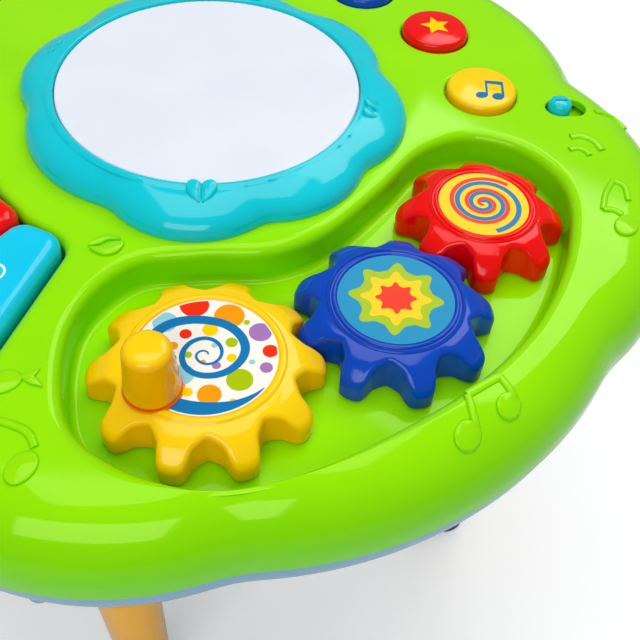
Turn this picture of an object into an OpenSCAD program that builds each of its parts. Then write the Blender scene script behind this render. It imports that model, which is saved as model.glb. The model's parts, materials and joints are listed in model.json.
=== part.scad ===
// Musical activity table for a toddler: a scalloped play deck with a drum,
// three meshing gears, a fan of five keys, three round buttons, a slide
// switch and a roller, on four plug-in legs.
// The origin is on the floor below the middle of the deck, +Z is up and
// the gears are at the front, on the -Y side.

/* [Deck] */
// Height of the flat deck above the floor
deck_top = 300; // [280:5:340]
// Radius that the front and back lobes have over the corner lobes
long_lobe_more = 59.5; // [58.5:0.5:60.5]
// Distance of their centres from the middle
long_lobe_y = 41; // [40:1:44]
// Radius of the four corner lobes
corner_lobe_r = 113; // [112:0.5:114]
// Corner lobe centre, sideways
corner_lobe_x = 71; // [70:0.5:72]
// Corner lobe centre, lengthways
corner_lobe_y = 79; // [78:0.5:80]
// Radius of the two side lobes
side_lobe_r = 118; // [117:1:121]
// Distance of their centres from the middle
side_lobe_x = 80; // [79:1:83]
// Radius of the rolled rim
rim_round = 26; // [24:0.5:27]
// Wall of the two casings
wall = 3; // [2.4:0.2:3.4]
// Height of the upper casing, down to the parting line
deck_depth = 32; // [31:0.5:34]
// Height of the lower casing
base_depth = 30; // [29:0.5:34]
// Step from the upper casing in to the lower one
base_inset = 1.5; // [1:0.5:3]

/* [Drum] */
// Drum centre, sideways
drum_x = 6; // [4:1:8]
// Drum centre, lengthways
drum_y = 1; // [0:1:3]
// Radius of the opening that shows the drum head
head_r = 68; // [66:0.5:69]
// Height of the drum frame above the deck
frame_h = 13; // [11:0.5:15]
// Distance that the drum head moves when it is tapped
head_travel = 2; // [1:0.5:2.5]

/* [Gears] */
// Size of the teeth, as pitch diameter per tooth
gear_module = 7.72; // [7.5:0.02:7.8]
// Thickness of the gears at the middle
gear_h = 17.6; // [17:0.2:19]
// Radius of the label on the yellow gear
yellow_label_r = 25.8; // [24:0.2:26.4]
// Radius of the label on the blue gear
blue_label_r = 22.3; // [21:0.1:23]
// Radius of the label on the red gear
red_label_r = 18.9; // [18:0.1:19.4]
// Depth of the gear pocket in the deck
pocket_depth = 16; // [15:0.5:18]
// Height of the turning knob on the yellow gear
knob_h = 22.5; // [20:0.5:26]
// Radius of the knob at its foot
knob_r = 10; // [9:0.2:10.6]

/* [Keys] */
// Angle that the whole fan of keys takes
fan_angle = 82; // [80:0.5:84]
// Distance of the fan's centre from the middle of the deck
fan_x = 24; // [22:1:26]
// Distance between the drum's opening in the deck and the keys
key_gap = 31; // [30.5:0.5:33]
// Radius of the outer ends of the keys, about the fan's centre
key_outer_r = 148; // [144:1:149]
// Height of the keys above the deck
key_rise = 5; // [4:0.5:6]
// Depth of a key from its face to the bottom of its skirt
key_depth = 13; // [12:0.5:14]
// Angle that a key tilts when it is pressed
key_tilt = 2.5; // [1.5:0.5:2.5]

/* [Buttons] */
// Radius of the round buttons
button_r = 16.5; // [15:0.5:17.5]
// Radius of the ring that the buttons lie on
button_ring_r = 133; // [131:0.5:134]
// Angle between neighbouring buttons
button_pitch = 22.5; // [22:0.5:24]
// Height of the buttons above the deck
button_rise = 4.5; // [3:0.5:6]
// Distance that a button moves
button_travel = 2; // [1:0.5:2.5]
// Gap between the first button's flange and the plate of the slide switch
slider_clear = 8.5; // [7.5:0.5:9]
// Direction of the slide switch from the middle of the deck
slider_angle = -27.5; // [-28:0.5:-27]
// Width of the slide switch
slider_w = 11; // [10:0.5:12]
// Distance that the slide switch moves outwards
slider_travel = 6; // [5:0.5:7]

/* [Roller] */
// Distance of the roller from the middle of the deck
roller_y = 152; // [150:1:154]
// Radius of the roller
roller_r = 18; // [17:0.5:19]
// Length of the roller
roller_len = 100; // [90:2:104]
// Height of the roller above the deck
roller_rise = 7; // [6:0.5:8]

/* [Legs] */
// Leg place, sideways
leg_x = 108; // [104:1:112]
// Leg place, lengthways
leg_y = 116; // [112:1:120]
// Radius of the plug at the top of a leg
leg_plug_r = 14; // [13:0.5:15]
// Radius of a leg below its shoulder
leg_r = 17; // [16:0.5:18]
// Radius of a leg at its foot
leg_foot_r = 13; // [12:0.5:14]

/* [Power] */
// Diameter of an AA cell
cell_d = 14.5; // [14.5:0.1:15]
// Length of an AA cell
cell_len = 50.5; // [50.5:0.1:51]
// Radius of the speaker
speaker_r = 25; // [22:1:26]

/* [Clearances] */
// Running clearance of a shaft in its bore
shaft_gap = 0.06; // [0.04:0.01:0.09]
// Gap between pieces that move past each other
move_gap = 0.4; // [0.3:0.1:0.6]
// Gap around a key, a button or the drum head in its opening
open_gap = 1; // [0.8:0.1:1.2]
// Thickness of the circuit boards
board_t = 1.6; // [1.2:0.2:2]
// Thickness of the printed labels
label_t = 0.3; // [0.2:0.05:0.4]

/* [Hidden] */
$fn = 64;

lime = "#8FE000";
sky = "#7FB4CC";
cyan = "#22CFE0";
yellow = "#FFD400";
orange = "#F7B500";
blue = "#0048B8";
red = "#E60000";
milk = "#E4EAF1";
steel = "#B8BCC0";
board_green = "#1E7A46";
rubber = "#5A5F66";

cut = 0.5;                 // how far a cut runs past a face
seat_gap = 0.3;            // gap of a moving piece to the stop it rests by
part_z = deck_top - deck_depth;
base_z = part_z - base_depth;
ceiling_z = deck_top - wall;
floor_z = base_z + wall;
base_round = base_depth - 4;

// ---- outline of the casings: eight lobes, each [x, y, radius] ----
long_lobe_r = corner_lobe_r + long_lobe_more;
lobe_list = [[side_lobe_x, 0, side_lobe_r],
    [corner_lobe_x, corner_lobe_y, corner_lobe_r],
    [0, long_lobe_y, long_lobe_r],
    [-corner_lobe_x, corner_lobe_y, corner_lobe_r],
    [-side_lobe_x, 0, side_lobe_r],
    [-corner_lobe_x, -corner_lobe_y, corner_lobe_r],
    [0, -long_lobe_y, long_lobe_r],
    [corner_lobe_x, -corner_lobe_y, corner_lobe_r]];
lobe_count = len(lobe_list);
lobe_steps = 10;                 // straight stretches of each lobe
roll_steps = 6;                  // and of the rolled edge

// The outer crossing of two circles: the notch between neighbouring lobes
function notch(a, b, inset) = let(
    across = [b[0] - a[0], b[1] - a[1]], d = norm(across), u = across / d,
    ra = a[2] - inset, rb = b[2] - inset,
    along = (d * d + ra * ra - rb * rb) / (2 * d),
    off = sqrt(ra * ra - along * along))
    [a[0], a[1]] + along * u + off * [u[1], -u[0]];

// The outline at height z, counter-clockwise, drawn in by inset
function lobed_ring(inset, z) = [for (i = [0 : lobe_count - 1]) let(
    lobe = lobe_list[i], centre = [lobe[0], lobe[1]], r = lobe[2] - inset,
    from = notch(lobe_list[(i + lobe_count - 1) % lobe_count], lobe, inset)
        - centre,
    to = notch(lobe, lobe_list[(i + 1) % lobe_count], inset) - centre,
    start = atan2(from[1], from[0]), end = atan2(to[1], to[0]),
    turn = end < start ? end + 360 - start : end - start)
    for (k = [0 : lobe_steps - 1]) let(
        at = centre + polar(r, start + turn * k / lobe_steps))
        [at[0], at[1], z]];

// The outline of the casings as a solid with a rolled upper edge
module lobed_slab(inset, low, top, roll) {
    rings = concat([lobed_ring(inset, low)],
        [for (k = [0 : roll_steps]) let(a = 90 * k / roll_steps)
            lobed_ring(inset + roll * (1 - cos(a)),
                top - roll * (1 - sin(a)))]);
    n = len(rings[0]);
    count = len(rings);
    points = concat([for (outline = rings) each outline],
        [[0, 0, low], [0, 0, top]]);
    polyhedron(points, concat(
        [for (j = [0 : count - 2], i = [0 : n - 1]) let(next = (i + 1) % n,
            a = j * n + i, b = j * n + next, c = a + n, d = b + n)
            each [[a, d, b], [a, c, d]]],
        [for (i = [0 : n - 1]) [n * count, i, (i + 1) % n]],
        [for (i = [0 : n - 1]) [n * count + 1, (count - 1) * n + (i + 1) % n,
            (count - 1) * n + i]]));
}

// A flat round slab with a rolled upper edge
module rolled_disc(radius, low, top, roll) {
    rotate_extrude($fn = 180) union() {
        translate([0, low]) square([radius - roll, top - low]);
        translate([0, low]) square([radius, top - roll - low]);
        intersection() {
            translate([radius - roll, top - roll]) circle(roll);
            translate([radius - roll, top - roll]) square(roll);
        }
    }
}

module ring(outer, inner, low, high) {
    difference() {
        translate([0, 0, low]) cylinder(r = outer, h = high - low);
        translate([0, 0, low - cut])
            cylinder(r = inner, h = high - low + 2 * cut);
    }
}

module post(radius, low, high) {
    translate([0, 0, low]) cylinder(r = radius, h = high - low);
}

module block(size, low, high) {
    translate([-size[0] / 2, -size[1] / 2, low])
        cube([size[0], size[1], high - low]);
}

// ---- smooth and rounded outlines ----
function unit(v) = v / norm(v);
function polar(r, a) = [r * cos(a), r * sin(a)];
function turned(p, a) = [p[0] * cos(a) - p[1] * sin(a),
    p[0] * sin(a) + p[1] * cos(a)];

// Point and slope of a closed smooth curve at share t after point i
function curve_terms(p, i) = let(n = len(p), a = p[(i + n - 1) % n],
    b = p[i], c = p[(i + 1) % n], d = p[(i + 2) % n])
    [2 * b, c - a, 2 * a - 5 * b + 4 * c - d, 3 * b - a - 3 * c + d];
function curve_point(q, t) =
    0.5 * (q[0] + q[1] * t + q[2] * t * t + q[3] * t * t * t);
function curve_slope(q, t) = 0.5 * (q[1] + 2 * q[2] * t + 3 * q[3] * t * t);

// The curve through counter-clockwise points, moved outwards by grow
function smooth_loop(p, grow = 0, steps = 5) = [
    for (i = [0 : len(p) - 1]) let(q = curve_terms(p, i))
        for (k = [0 : steps - 1]) let(s = unit(curve_slope(q, k / steps)))
            curve_point(q, k / steps) + grow * [s[1], -s[0]]];

// The arc that rounds corner b between a and c, counter-clockwise
function corner_arc(a, b, c, r, steps = 6) = let(
    u = unit(a - b), v = unit(c - b), half = acos(u * v) / 2,
    centre = b + unit(u + v) * r / sin(half),
    start = b + u * r / tan(half) - centre,
    from = atan2(start[1], start[0]), turn = 180 - 2 * half)
    [for (k = [0 : steps]) centre + polar(r, from + turn * k / steps)];

// ---- casings: what the other pieces need of them ----
end_screw_in = 13.5;             // casing screws in from the outline
side_screw_in = 17.5;
corner_screw_in = 12.34;
corner_screw = [corner_lobe_x, corner_lobe_y]
    + polar(corner_lobe_r - corner_screw_in, 45);
casing_screw_list = [
    for (side = [-1, 1])
        [0, side * (long_lobe_y + long_lobe_r - end_screw_in)],
    for (side = [-1, 1]) [side * (side_lobe_x + side_lobe_r - side_screw_in), 0],
    for (sx = [-1, 1], sy = [-1, 1])
        [sx * corner_screw[0], sy * corner_screw[1]]];
screw_r = 1.4;
boss_r = 4;
column_r = 5;
screw_head_r = 3.4;
screw_head_h = 2.2;
screw_head_z = base_z + 16;
screw_tip_z = part_z + 14;

// ---- drum ----
frame_top = deck_top + frame_h;
frame_base_r = 80;
frame_roll = frame_h - 1;
lip_t = 4;                       // thickness of the frame over the flange
// Petals of the frame: direction, reach and roundness
petals = [[-177, 83.5, 58], [-123, 89, 41], [-82, 86.5, 42], [-39, 90, 44],
    [6, 89, 42], [48, 89, 42], [91, 89, 42], [133, 89, 42]];
head_edge_r = head_r - open_gap / 2;
head_top = frame_top - 1;
flange_r = head_r + 4;
flange_t = 2.5;
flange_top = frame_top - lip_t - seat_gap;
drum_hole_r = flange_r + open_gap;
skirt_t = 2.4;
skirt_low = ceiling_z - 6;
tray_wall = 2.5;
tray_lug_r = 6;
tray_low = ceiling_z - 20;
tray_floor = tray_low + 2;
tray_lug_ring = drum_hole_r + tray_wall + 4;
pad_top = skirt_low - head_travel - seat_gap;
light_r = 42;
frame_screw_ring = drum_hole_r + 8.5;
frame_screw_list = [for (k = [1, 3, 5, 7])
    [drum_x, drum_y] + polar(frame_screw_ring, petals[k][0])];
tray_screw_list = [for (k = [0 : 3])
    [drum_x, drum_y] + polar(tray_lug_ring, 90 * k)];
tray_lug_top = ceiling_z - 5;

// ---- gears ----
yellow_teeth = 10;
blue_teeth = 9;
red_teeth = 8;
tooth_tip = 4.8;                 // tip height over the pitch circle
tooth_root = 5.6;                // gap depth below the pitch circle
pressure = 22;                   // pressure angle of the flanks
backlash = 1.3;                  // play in the mesh along the pitch circle
blue_at = [12.4, -138.9];
red_gap = 1.4;                   // added centre distance, blue to red
yellow_gap = 1.65;               // added centre distance, blue to yellow
red_side = 22.1;                 // direction from the blue gear to the red
yellow_side = 171.6;             // direction from the blue gear to the yellow
function pitch_r(teeth) = gear_module * teeth / 2;
yellow_at = blue_at + polar(pitch_r(blue_teeth) + pitch_r(yellow_teeth)
    + yellow_gap, yellow_side);
red_at = blue_at + polar(pitch_r(blue_teeth) + pitch_r(red_teeth)
    + red_gap, red_side);
// Direction of one tooth of each gear, in mesh at rest
blue_phase = yellow_side;
yellow_phase = yellow_side - 180 + 180 / yellow_teeth;
mesh_offset = blue_phase - red_side - 360 / blue_teeth * 4;
red_phase = red_side + 180 - mesh_offset * blue_teeth / red_teeth
    + 180 / red_teeth;
pocket_floor = deck_top - pocket_depth;
pocket_wall = 2.5;
pocket_floor_t = 2.5;
gear_low = pocket_floor + move_gap;
gear_top = gear_low + gear_h;
gear_skin = 4;                   // wall of the hollow gears
tip_drop = 10;                   // fall of the top from ring to tooth tip
ring_w = 3;                      // raised ring round the label
stem_r = 6;
floor_boss_r = 10;
floor_boss_low = pocket_floor - pocket_floor_t - 3;
stem_low = floor_boss_low - seat_gap;
washer_r = 9;
washer_t = 1.2;
gear_screw_r = 1.5;
gear_screw_len = 14;
// The pocket's edge, counter-clockwise from the left end
pocket_points = [[-113, -124], [-106, -151], [-85, -173], [-57, -183],
    [-20, -185.5], [18, -183], [55, -172], [90, -150], [114, -122],
    [115, -94], [99, -74], [74, -71], [44, -83], [12, -93.5], [-14, -93.5],
    [-42, -80], [-68, -72.5], [-96, -88]];
knob_offset = 22.3;              // knob axis from the gear's axis
knob_side = -170.6;
knob_screw_r = 2.5;
knob_screw_head_r = 5;
knob_screw_head_h = 2;
knob_foot_gap = 0.35;

// ---- keys ----
key_count = 5;
key_inner_r = drum_hole_r + key_gap;     // inner ends, about the drum
fan_at = [-fan_x, 0];
key_pitch = fan_angle / key_count;
function key_turn(i) = 180 - fan_angle / 2 + key_pitch * (i + 0.5);
// Distance from the fan's centre to the circle of radius r about the drum
function to_drum_circle(turn, r) = let(
    away = fan_at - [drum_x, drum_y], along = away * polar(1, turn))
    -along + sqrt(along * along - away * away + r * r);
key_top = deck_top + key_rise;
key_low = key_top - key_depth;
key_skin = 2.4;
key_round = 8;
hinge_back = 9;                  // hinge behind the inner end of a key
hinge_z = ceiling_z - 6.5;
hinge_r = 4;
hinge_len = 12;
pin_r = 1.5;
ear_t = 3;
plunger_at = key_outer_r - 24;   // plunger of a key from the fan's centre
plunger_r = 3;
bracket_z = ceiling_z - 25;
bracket_t = 2.5;
bracket_in = key_inner_r - 44;
bracket_out = key_outer_r - 8;
key_board_z = bracket_z + bracket_t + 3;
pad_sheet_t = 1.2;
dome_r = 5;
key_dome_top = key_board_z + board_t + pad_sheet_t + 2.4;
hinge_near = key_inner_r - 38;   // hinges from the fan's centre, about
key_drop = (plunger_at - hinge_near) * sin(key_tilt) + 0.6;
// Posts of the bracket beside the fan: distance, angle past the outer keys
bracket_posts = [[key_inner_r - 18, 8], [key_outer_r - 14, 5.5]];
bracket_post_list = [for (side = [-1, 1], post = bracket_posts)
    fan_at + polar(post[0], 180 + side * (fan_angle / 2 + post[1]))];

// ---- buttons and slide switch ----
function button_at(i) = polar(button_ring_r, button_pitch * (i - 1));
button_flange_r = button_r + 2;
button_board_z = ceiling_z - 16;
button_dome_top = button_board_z + board_t + pad_sheet_t + 2.4;
button_foot = button_dome_top + button_travel + seat_gap;
board_half = 12;                 // half the width of the board
board_in = button_ring_r - board_half;
board_out = button_ring_r + board_half;
board_reach = button_pitch + 8;
board_boss_list = [for (a = [-0.5, 0.5]) polar(button_ring_r,
    button_pitch * a)];
slot_len = slider_w + slider_travel + 2 * open_gap;
slot_w = slider_w + open_gap;
slider_plate_top = ceiling_z - 3.2;
slider_plate_t = 2;
slider_plate = [slider_w + 6, slider_w + 5];
// The switch at its inner stop, beyond the first button
slider_r = button_ring_r * cos(slider_angle + button_pitch)
    + button_flange_r + slider_clear + slider_plate[0] / 2;
slot_r = slider_r + slider_travel / 2;   // middle of the slot
switch_reach = slot_r + slot_len / 2 + 2;
slider_tongue_low = slider_plate_top - slider_plate_t - 5;
tongue_w = 3;

// ---- roller ----
roller_z = deck_top + roller_rise - roller_r;
axle_r = 2.5;
roller_ear_t = 5;
roller_slot_w = 2 * (open_gap
    + sqrt(pow(roller_r, 2) - pow(ceiling_z - roller_z, 2)));
roller_slot_len = roller_len + 2 * open_gap;

// ---- legs ----
plug_len = 22;
socket_gap = 0.1;
socket_wall = 3;
leg_wall = 2.6;
foot_h = 14;
foot_base = 3;
foot_wall = 2.2;
leg_places = [[-leg_x, -leg_y], [leg_x, -leg_y], [-leg_x, leg_y],
    [leg_x, leg_y]];

// ---- power and sound ----
cell_count = 3;
cell_gap = 0.6;
battery_at = [0, 62];
contact_t = 0.8;
contact_room = 3;
battery_in = [cell_len + 2 * contact_room,
    cell_count * (cell_d + cell_gap) + cell_gap];
battery_wall = 2;
battery_roof = base_z + 4 + cell_d + 2 * cell_gap;
door_t = 2;
door_edge = 3;
door_fit = 0.2;
door_size = [battery_in[0] + 2 * door_edge + 12, battery_in[1] + 2 * door_edge];
door_screw_x = battery_in[0] / 2 + 5.2;
cell_z = base_z + door_t + 1.4 + cell_gap + cell_d / 2;
speaker_at = [100, 30];
speaker_h = 17;
speaker_z = floor_z + 1.5;
main_at = [-6, -40];
main_size = [92, 58];
main_z = base_z + 22;
main_post_list = [for (sx = [-1, 1], sy = [-1, 1])
    main_at + [sx * (main_size[0] / 2 - 4), sy * (main_size[1] / 2 - 4)]];

// ======================= casings =======================
module pocket_outline(grow) {
    polygon(smooth_loop(pocket_points, grow));
}

// The opening of the whole key fan, larger than the keys by grow
function fan_outline(grow) = let(
    lift = asin(grow / key_outer_r), lift_in = asin(grow / (key_inner_r - 24)),
    a1 = 180 - fan_angle / 2, a2 = 180 + fan_angle / 2,
    outer = key_outer_r + grow, steps = 16,
    o1 = polar(outer, a1 - lift), o2 = polar(outer, a2 + lift),
    i2 = polar(to_drum_circle(a2 + lift_in, key_inner_r - grow),
        a2 + lift_in),
    i1 = polar(to_drum_circle(a1 - lift_in, key_inner_r - grow),
        a1 - lift_in),
    out_arc = [for (k = [1 : steps - 1])
        polar(outer, a1 + fan_angle * k / steps)],
    in_arc = [for (k = [2 : steps - 2]) let(a = a2 - fan_angle * k / steps)
        polar(to_drum_circle(a, key_inner_r - grow), a)])
    concat(corner_arc(i1, o1, out_arc[0], key_round + grow), out_arc,
        corner_arc(out_arc[steps - 2], o2, i2, key_round + grow),
        corner_arc(o2, i2, in_arc[0], key_round + grow), in_arc,
        corner_arc(in_arc[steps - 4], i1, o1, key_round + grow));

// What stands below the deck inside the upper casing
module deck_solids() {
    translate([0, 0, pocket_floor - pocket_floor_t])
        linear_extrude(deck_top) pocket_outline(pocket_wall);
    for (at = [yellow_at, blue_at, red_at])
        translate(at) post(floor_boss_r, floor_boss_low, pocket_floor);
    for (at = casing_screw_list) translate(at) post(boss_r, 0, deck_top);
    for (at = tray_screw_list)
        translate(at) post(boss_r, tray_lug_top, deck_top);
    for (at = bracket_post_list) translate(at)
        post(boss_r, bracket_z + bracket_t, deck_top);
    for (at = board_boss_list) translate(at)
        post(boss_r, button_board_z + board_t, deck_top);
    rotate(slider_angle) for (side = [-1, 1])
        translate([slot_r + 2, side * (slot_w / 2 + 2.2), 0])
            block([slot_len, 3], slider_plate_top + seat_gap, deck_top);
    for (side = [-1, 1]) translate([side
        * (roller_slot_len / 2 + roller_ear_t / 2 + 0.6), roller_y, 0])
        block([roller_ear_t, 16], roller_z - 6, deck_top);
}

// Openings and bores through the deck
module deck_cuts() {
    translate([0, 0, pocket_floor])
        linear_extrude(deck_top) pocket_outline(0);
    for (at = [yellow_at, blue_at, red_at])
        translate(at) post(stem_r + shaft_gap, floor_boss_low - cut,
            pocket_floor + cut);
    translate([drum_x, drum_y, 0]) post(drum_hole_r, part_z, deck_top + cut);
    translate([fan_at[0], fan_at[1], part_z]) linear_extrude(deck_depth + cut)
        polygon(fan_outline(open_gap));
    for (i = [0 : 2]) translate(button_at(i))
        post(button_r + open_gap / 2, part_z, deck_top + cut);
    rotate(slider_angle) translate([slot_r, 0, 0]) {
        for (side = [-1, 1]) translate([side * (slot_len - slot_w) / 2, 0, 0])
            post(slot_w / 2, part_z, deck_top + cut);
        block([slot_len - slot_w, slot_w], part_z, deck_top + cut);
    }
    translate([0, roller_y, 0])
        block([roller_slot_len, roller_slot_w], part_z, deck_top + cut);
    translate([0, roller_y, roller_z]) rotate([0, 90, 0])
        cylinder(r = axle_r + shaft_gap, center = true,
            h = roller_slot_len + 3 * roller_ear_t);
    for (at = casing_screw_list)
        translate(at) post(screw_r, part_z - cut, screw_tip_z + 1);
    for (at = concat(tray_screw_list, bracket_post_list, board_boss_list))
        translate(at) post(screw_r, bracket_z, deck_top - 1.5);
    for (at = frame_screw_list)
        translate(at) post(screw_r, ceiling_z - cut, deck_top + cut);
}

module deck_shell() {
    color(lime) difference() {
        lobed_slab(0, part_z, deck_top, rim_round);
        difference() {
            lobed_slab(wall, part_z - cut, ceiling_z, rim_round - wall);
            deck_solids();
        }
        deck_cuts();
    }
}

module base_cavity() {
    mirror([0, 0, 1]) lobed_slab(base_inset + wall, -part_z - cut, -floor_z,
        base_round - wall);
}

// What stands on the floor of the lower casing
module base_solids() {
    for (at = casing_screw_list) translate(at) post(column_r, 0, part_z);
    for (at = leg_places) translate(at)
        post(leg_plug_r + socket_gap + socket_wall, 0,
            base_z + plug_len + socket_wall);
    translate(battery_at) block(battery_in + 2 * [battery_wall, battery_wall],
        0, battery_roof + battery_wall);
    translate(battery_at + [door_screw_x, 0]) post(4, 0, base_z + 12);
    translate(speaker_at) ring(speaker_r + 2.4, speaker_r + 0.2, 0,
        speaker_z + 5);
    translate(speaker_at) ring(speaker_r, speaker_r - 2, 0, speaker_z);
    for (at = main_post_list) translate(at) post(3, 0, main_z);
}

module base_cuts() {
    for (at = casing_screw_list) translate(at) {
        post(screw_head_r + 0.4, 0, screw_head_z);
        post(screw_r, 0, part_z + cut);
    }
    for (at = leg_places) translate(at)
        post(leg_plug_r + socket_gap, 0, base_z + plug_len + socket_gap);
    translate(battery_at) {
        block(battery_in, 0, battery_roof);
        block(door_size + 2 * [door_fit, door_fit], 0, base_z + door_t);
    }
    translate(battery_at + [door_screw_x, 0]) post(screw_r, 0, base_z + 10);
    slot_pitch = 6;
    for (k = [-3 : 3]) let(reach = sqrt(18 * 18
        - pow(k * slot_pitch * 0.9, 2)))
        translate(speaker_at + [0, k * slot_pitch * 0.9])
            block([2 * reach, 2.4], 0, speaker_z);
}

module base_shell() {
    color(sky) difference() {
        mirror([0, 0, 1])
            lobed_slab(base_inset, -part_z, -base_z, base_round);
        difference() {
            base_cavity();
            base_solids();
        }
        base_cuts();
    }
}

module casing_screws() {
    color(steel) for (at = casing_screw_list)
        translate(at) union() screw(screw_head_z, screw_tip_z);
}

// A screw with its head below height z
module screw(z, tip) {
    post(screw_head_r, z - screw_head_h, z);
    post(screw_r, z - 1, tip);
}

// Screws of the drum frame, the tray, the key bracket and the button board
module inner_screws() {
    color(steel) {
        for (at = frame_screw_list) translate(at) union()
            screw(ceiling_z, deck_top + 6.5);
        for (at = tray_screw_list) translate(at) union()
            screw(tray_low + 8, deck_top - 2);
        for (at = bracket_post_list) translate(at) union()
            screw(bracket_z, bracket_z + 12);
        for (at = board_boss_list) translate(at) union()
            screw(button_board_z, button_board_z + 10);
    }
}

// ======================= drum =======================
module drum_frame() {
    color(cyan) translate([drum_x, drum_y, 0]) difference() {
        union() {
            rolled_disc(frame_base_r, deck_top, frame_top, frame_roll);
            for (petal = petals)
                translate(polar(petal[1] - petal[2], petal[0]))
                    rolled_disc(petal[2], deck_top, frame_top, frame_roll);
        }
        post(head_r, deck_top - cut, frame_top + cut);
        post(drum_hole_r, deck_top - cut, frame_top - lip_t);
        for (k = [1, 3, 5, 7]) rotate(petals[k][0])
            translate([frame_screw_ring, 0, 0])
                post(screw_r, deck_top - cut, deck_top + 7);
    }
}

// Translucent tapped disc, with a flange held down by the frame
module drum_head() {
    color(milk) translate([drum_x, drum_y, 0]) difference() {
        union() {
            rolled_disc(head_edge_r, flange_top - flange_t, head_top, 1);
            ring(flange_r, head_edge_r - 1, flange_top - flange_t, flange_top);
            ring(flange_r, flange_r - skirt_t, skirt_low, flange_top - 1);
        }
        post(head_edge_r - skirt_t, flange_top - flange_t - cut,
            head_top - skirt_t);
    }
}

// Tray below the deck that holds the pad and the lights
module drum_tray() {
    color(milk) translate([drum_x, drum_y, 0]) difference() {
        union() {
            post(drum_hole_r + tray_wall, tray_low, ceiling_z);
            for (k = [0 : 3]) rotate(90 * k)
                translate([tray_lug_ring, 0, 0])
                    post(tray_lug_r, tray_low + 8, tray_lug_top);
        }
        post(drum_hole_r, tray_floor, ceiling_z + cut);
        for (k = [0 : 3]) rotate(90 * k) translate([tray_lug_ring, 0, 0])
            post(screw_r, tray_low + 6, ceiling_z);
    }
}

// Soft ring with four domes that the head's skirt presses
module drum_pad() {
    color(rubber) translate([drum_x, drum_y, 0]) union() {
        ring(flange_r, flange_r - 6, tray_floor, tray_floor + 2);
        for (k = [0 : 7]) rotate(22.5 + 45 * k)
            translate([flange_r - 3, 0, 0])
                post(2.8, tray_floor + 1, pad_top);
    }
}

module light_board() {
    lamp_count = 6;
    color(board_green) translate([drum_x, drum_y, 0]) union() {
        for (k = [0 : 2]) rotate(120 * k) translate([light_r - 8, 0, 0])
            post(2.5, tray_floor, tray_floor + 3.5);
        post(light_r, tray_floor + 3, tray_floor + 3 + board_t);
        for (k = [1 : lamp_count]) rotate(30 + 360 / lamp_count * k)
            translate([light_r - 14, 0, tray_floor + 2.5 + board_t]) {
                cylinder(r = 2.5, h = 4);
                translate([0, 0, 4]) sphere(2.5);
            }
    }
}

// ======================= keys =======================
function key_start(i) = to_drum_circle(key_turn(i), key_inner_r);
function hinge_at(i) = key_start(i) - hinge_back;

// Outline of a key along +X from the fan's centre, drawn in by inset
module key_outline(i, inset) {
    half = key_pitch / 2;
    side = open_gap / 2 + inset;
    inner = key_start(i) + inset;
    outer = key_outer_r - inset;
    low_y = inner * tan(half) - side / cos(half);
    spread = half - asin(side / outer);
    round_r = key_round - inset * 0.8;
    a = [inner, -low_y];
    b = polar(outer, -spread);
    c = polar(outer, spread);
    d = [inner, low_y];
    bow = [for (k = [-2 : 2]) polar(outer, spread * k / 4)];
    polygon(concat(corner_arc(d, a, b, round_r),
        corner_arc(a, b, bow[0], round_r), bow,
        corner_arc(bow[4], c, d, round_r), corner_arc(c, d, a, round_r)));
}

module key(i, tint) {
    color(tint) translate(fan_at) rotate(key_turn(i)) difference() {
        union() {
            difference() {
                translate([0, 0, key_low])
                    linear_extrude(key_depth) key_outline(i, 0);
                translate([0, 0, key_low - cut])
                    linear_extrude(key_depth - key_skin + cut)
                        key_outline(i, key_skin);
            }
            translate([plunger_at, 0, 0])
                post(plunger_r, key_dome_top + key_drop, key_top - 1);
            translate([hinge_at(i), 0, 0])
                translate([0, -hinge_len / 2, hinge_z - 2.5])
                    cube([hinge_back + key_skin + 1, hinge_len, 5]);
            translate([hinge_at(i), 0, hinge_z]) rotate([90, 0, 0])
                cylinder(r = hinge_r, h = hinge_len, center = true);
        }
        translate([hinge_at(i), 0, hinge_z]) rotate([90, 0, 0])
            cylinder(r = pin_r + shaft_gap, h = hinge_len + 2, center = true);
    }
}

module key_pins() {
    color(steel) for (i = [0 : key_count - 1])
        translate(fan_at) rotate(key_turn(i))
            translate([hinge_at(i), 0, hinge_z]) rotate([90, 0, 0])
                cylinder(r = pin_r, center = true,
                    h = hinge_len + 2 * (ear_t + move_gap));
}

// A flat sector about the fan's centre
module fan_plate(inner, outer, half, low, high) {
    steps = 12;
    translate([fan_at[0], fan_at[1], low]) linear_extrude(high - low)
        polygon(concat(
            [for (k = [0 : steps])
                polar(outer, 180 - half + 2 * half * k / steps)],
            [for (k = [0 : steps])
                polar(inner, 180 + half - 2 * half * k / steps)]));
}

module key_bracket() {
    ear_y = hinge_len / 2 + move_gap + ear_t / 2;
    color(milk) difference() {
        union() {
            fan_plate(bracket_in, bracket_out, fan_angle / 2 + 7,
                bracket_z, bracket_z + bracket_t);
            for (at = bracket_post_list) translate(at)
                post(boss_r + 2, bracket_z, bracket_z + bracket_t);
            for (i = [0 : key_count - 1], side = [-1, 1])
                translate(fan_at) rotate(key_turn(i))
                    translate([hinge_at(i), side * ear_y, 0])
                        block([8, ear_t], bracket_z + 1, hinge_z + 4);
            for (i = [0 : key_count - 1], side = [-1, 1])
                translate(fan_at) rotate(key_turn(i))
                    translate([plunger_at, side * 10, 0])
                        post(2.5, bracket_z + 1, key_board_z);
        }
        for (i = [0 : key_count - 1])
            translate(fan_at) rotate(key_turn(i))
                translate([hinge_at(i), 0, hinge_z]) rotate([90, 0, 0])
                    cylinder(r = pin_r, h = hinge_len + 20, center = true);
        for (at = bracket_post_list) translate(at)
            post(screw_r, bracket_z - cut, deck_top);
    }
}

module key_board() {
    color(board_green) fan_plate(plunger_at - 14, plunger_at + 14,
        fan_angle / 2 - 1, key_board_z, key_board_z + board_t);
}

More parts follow.
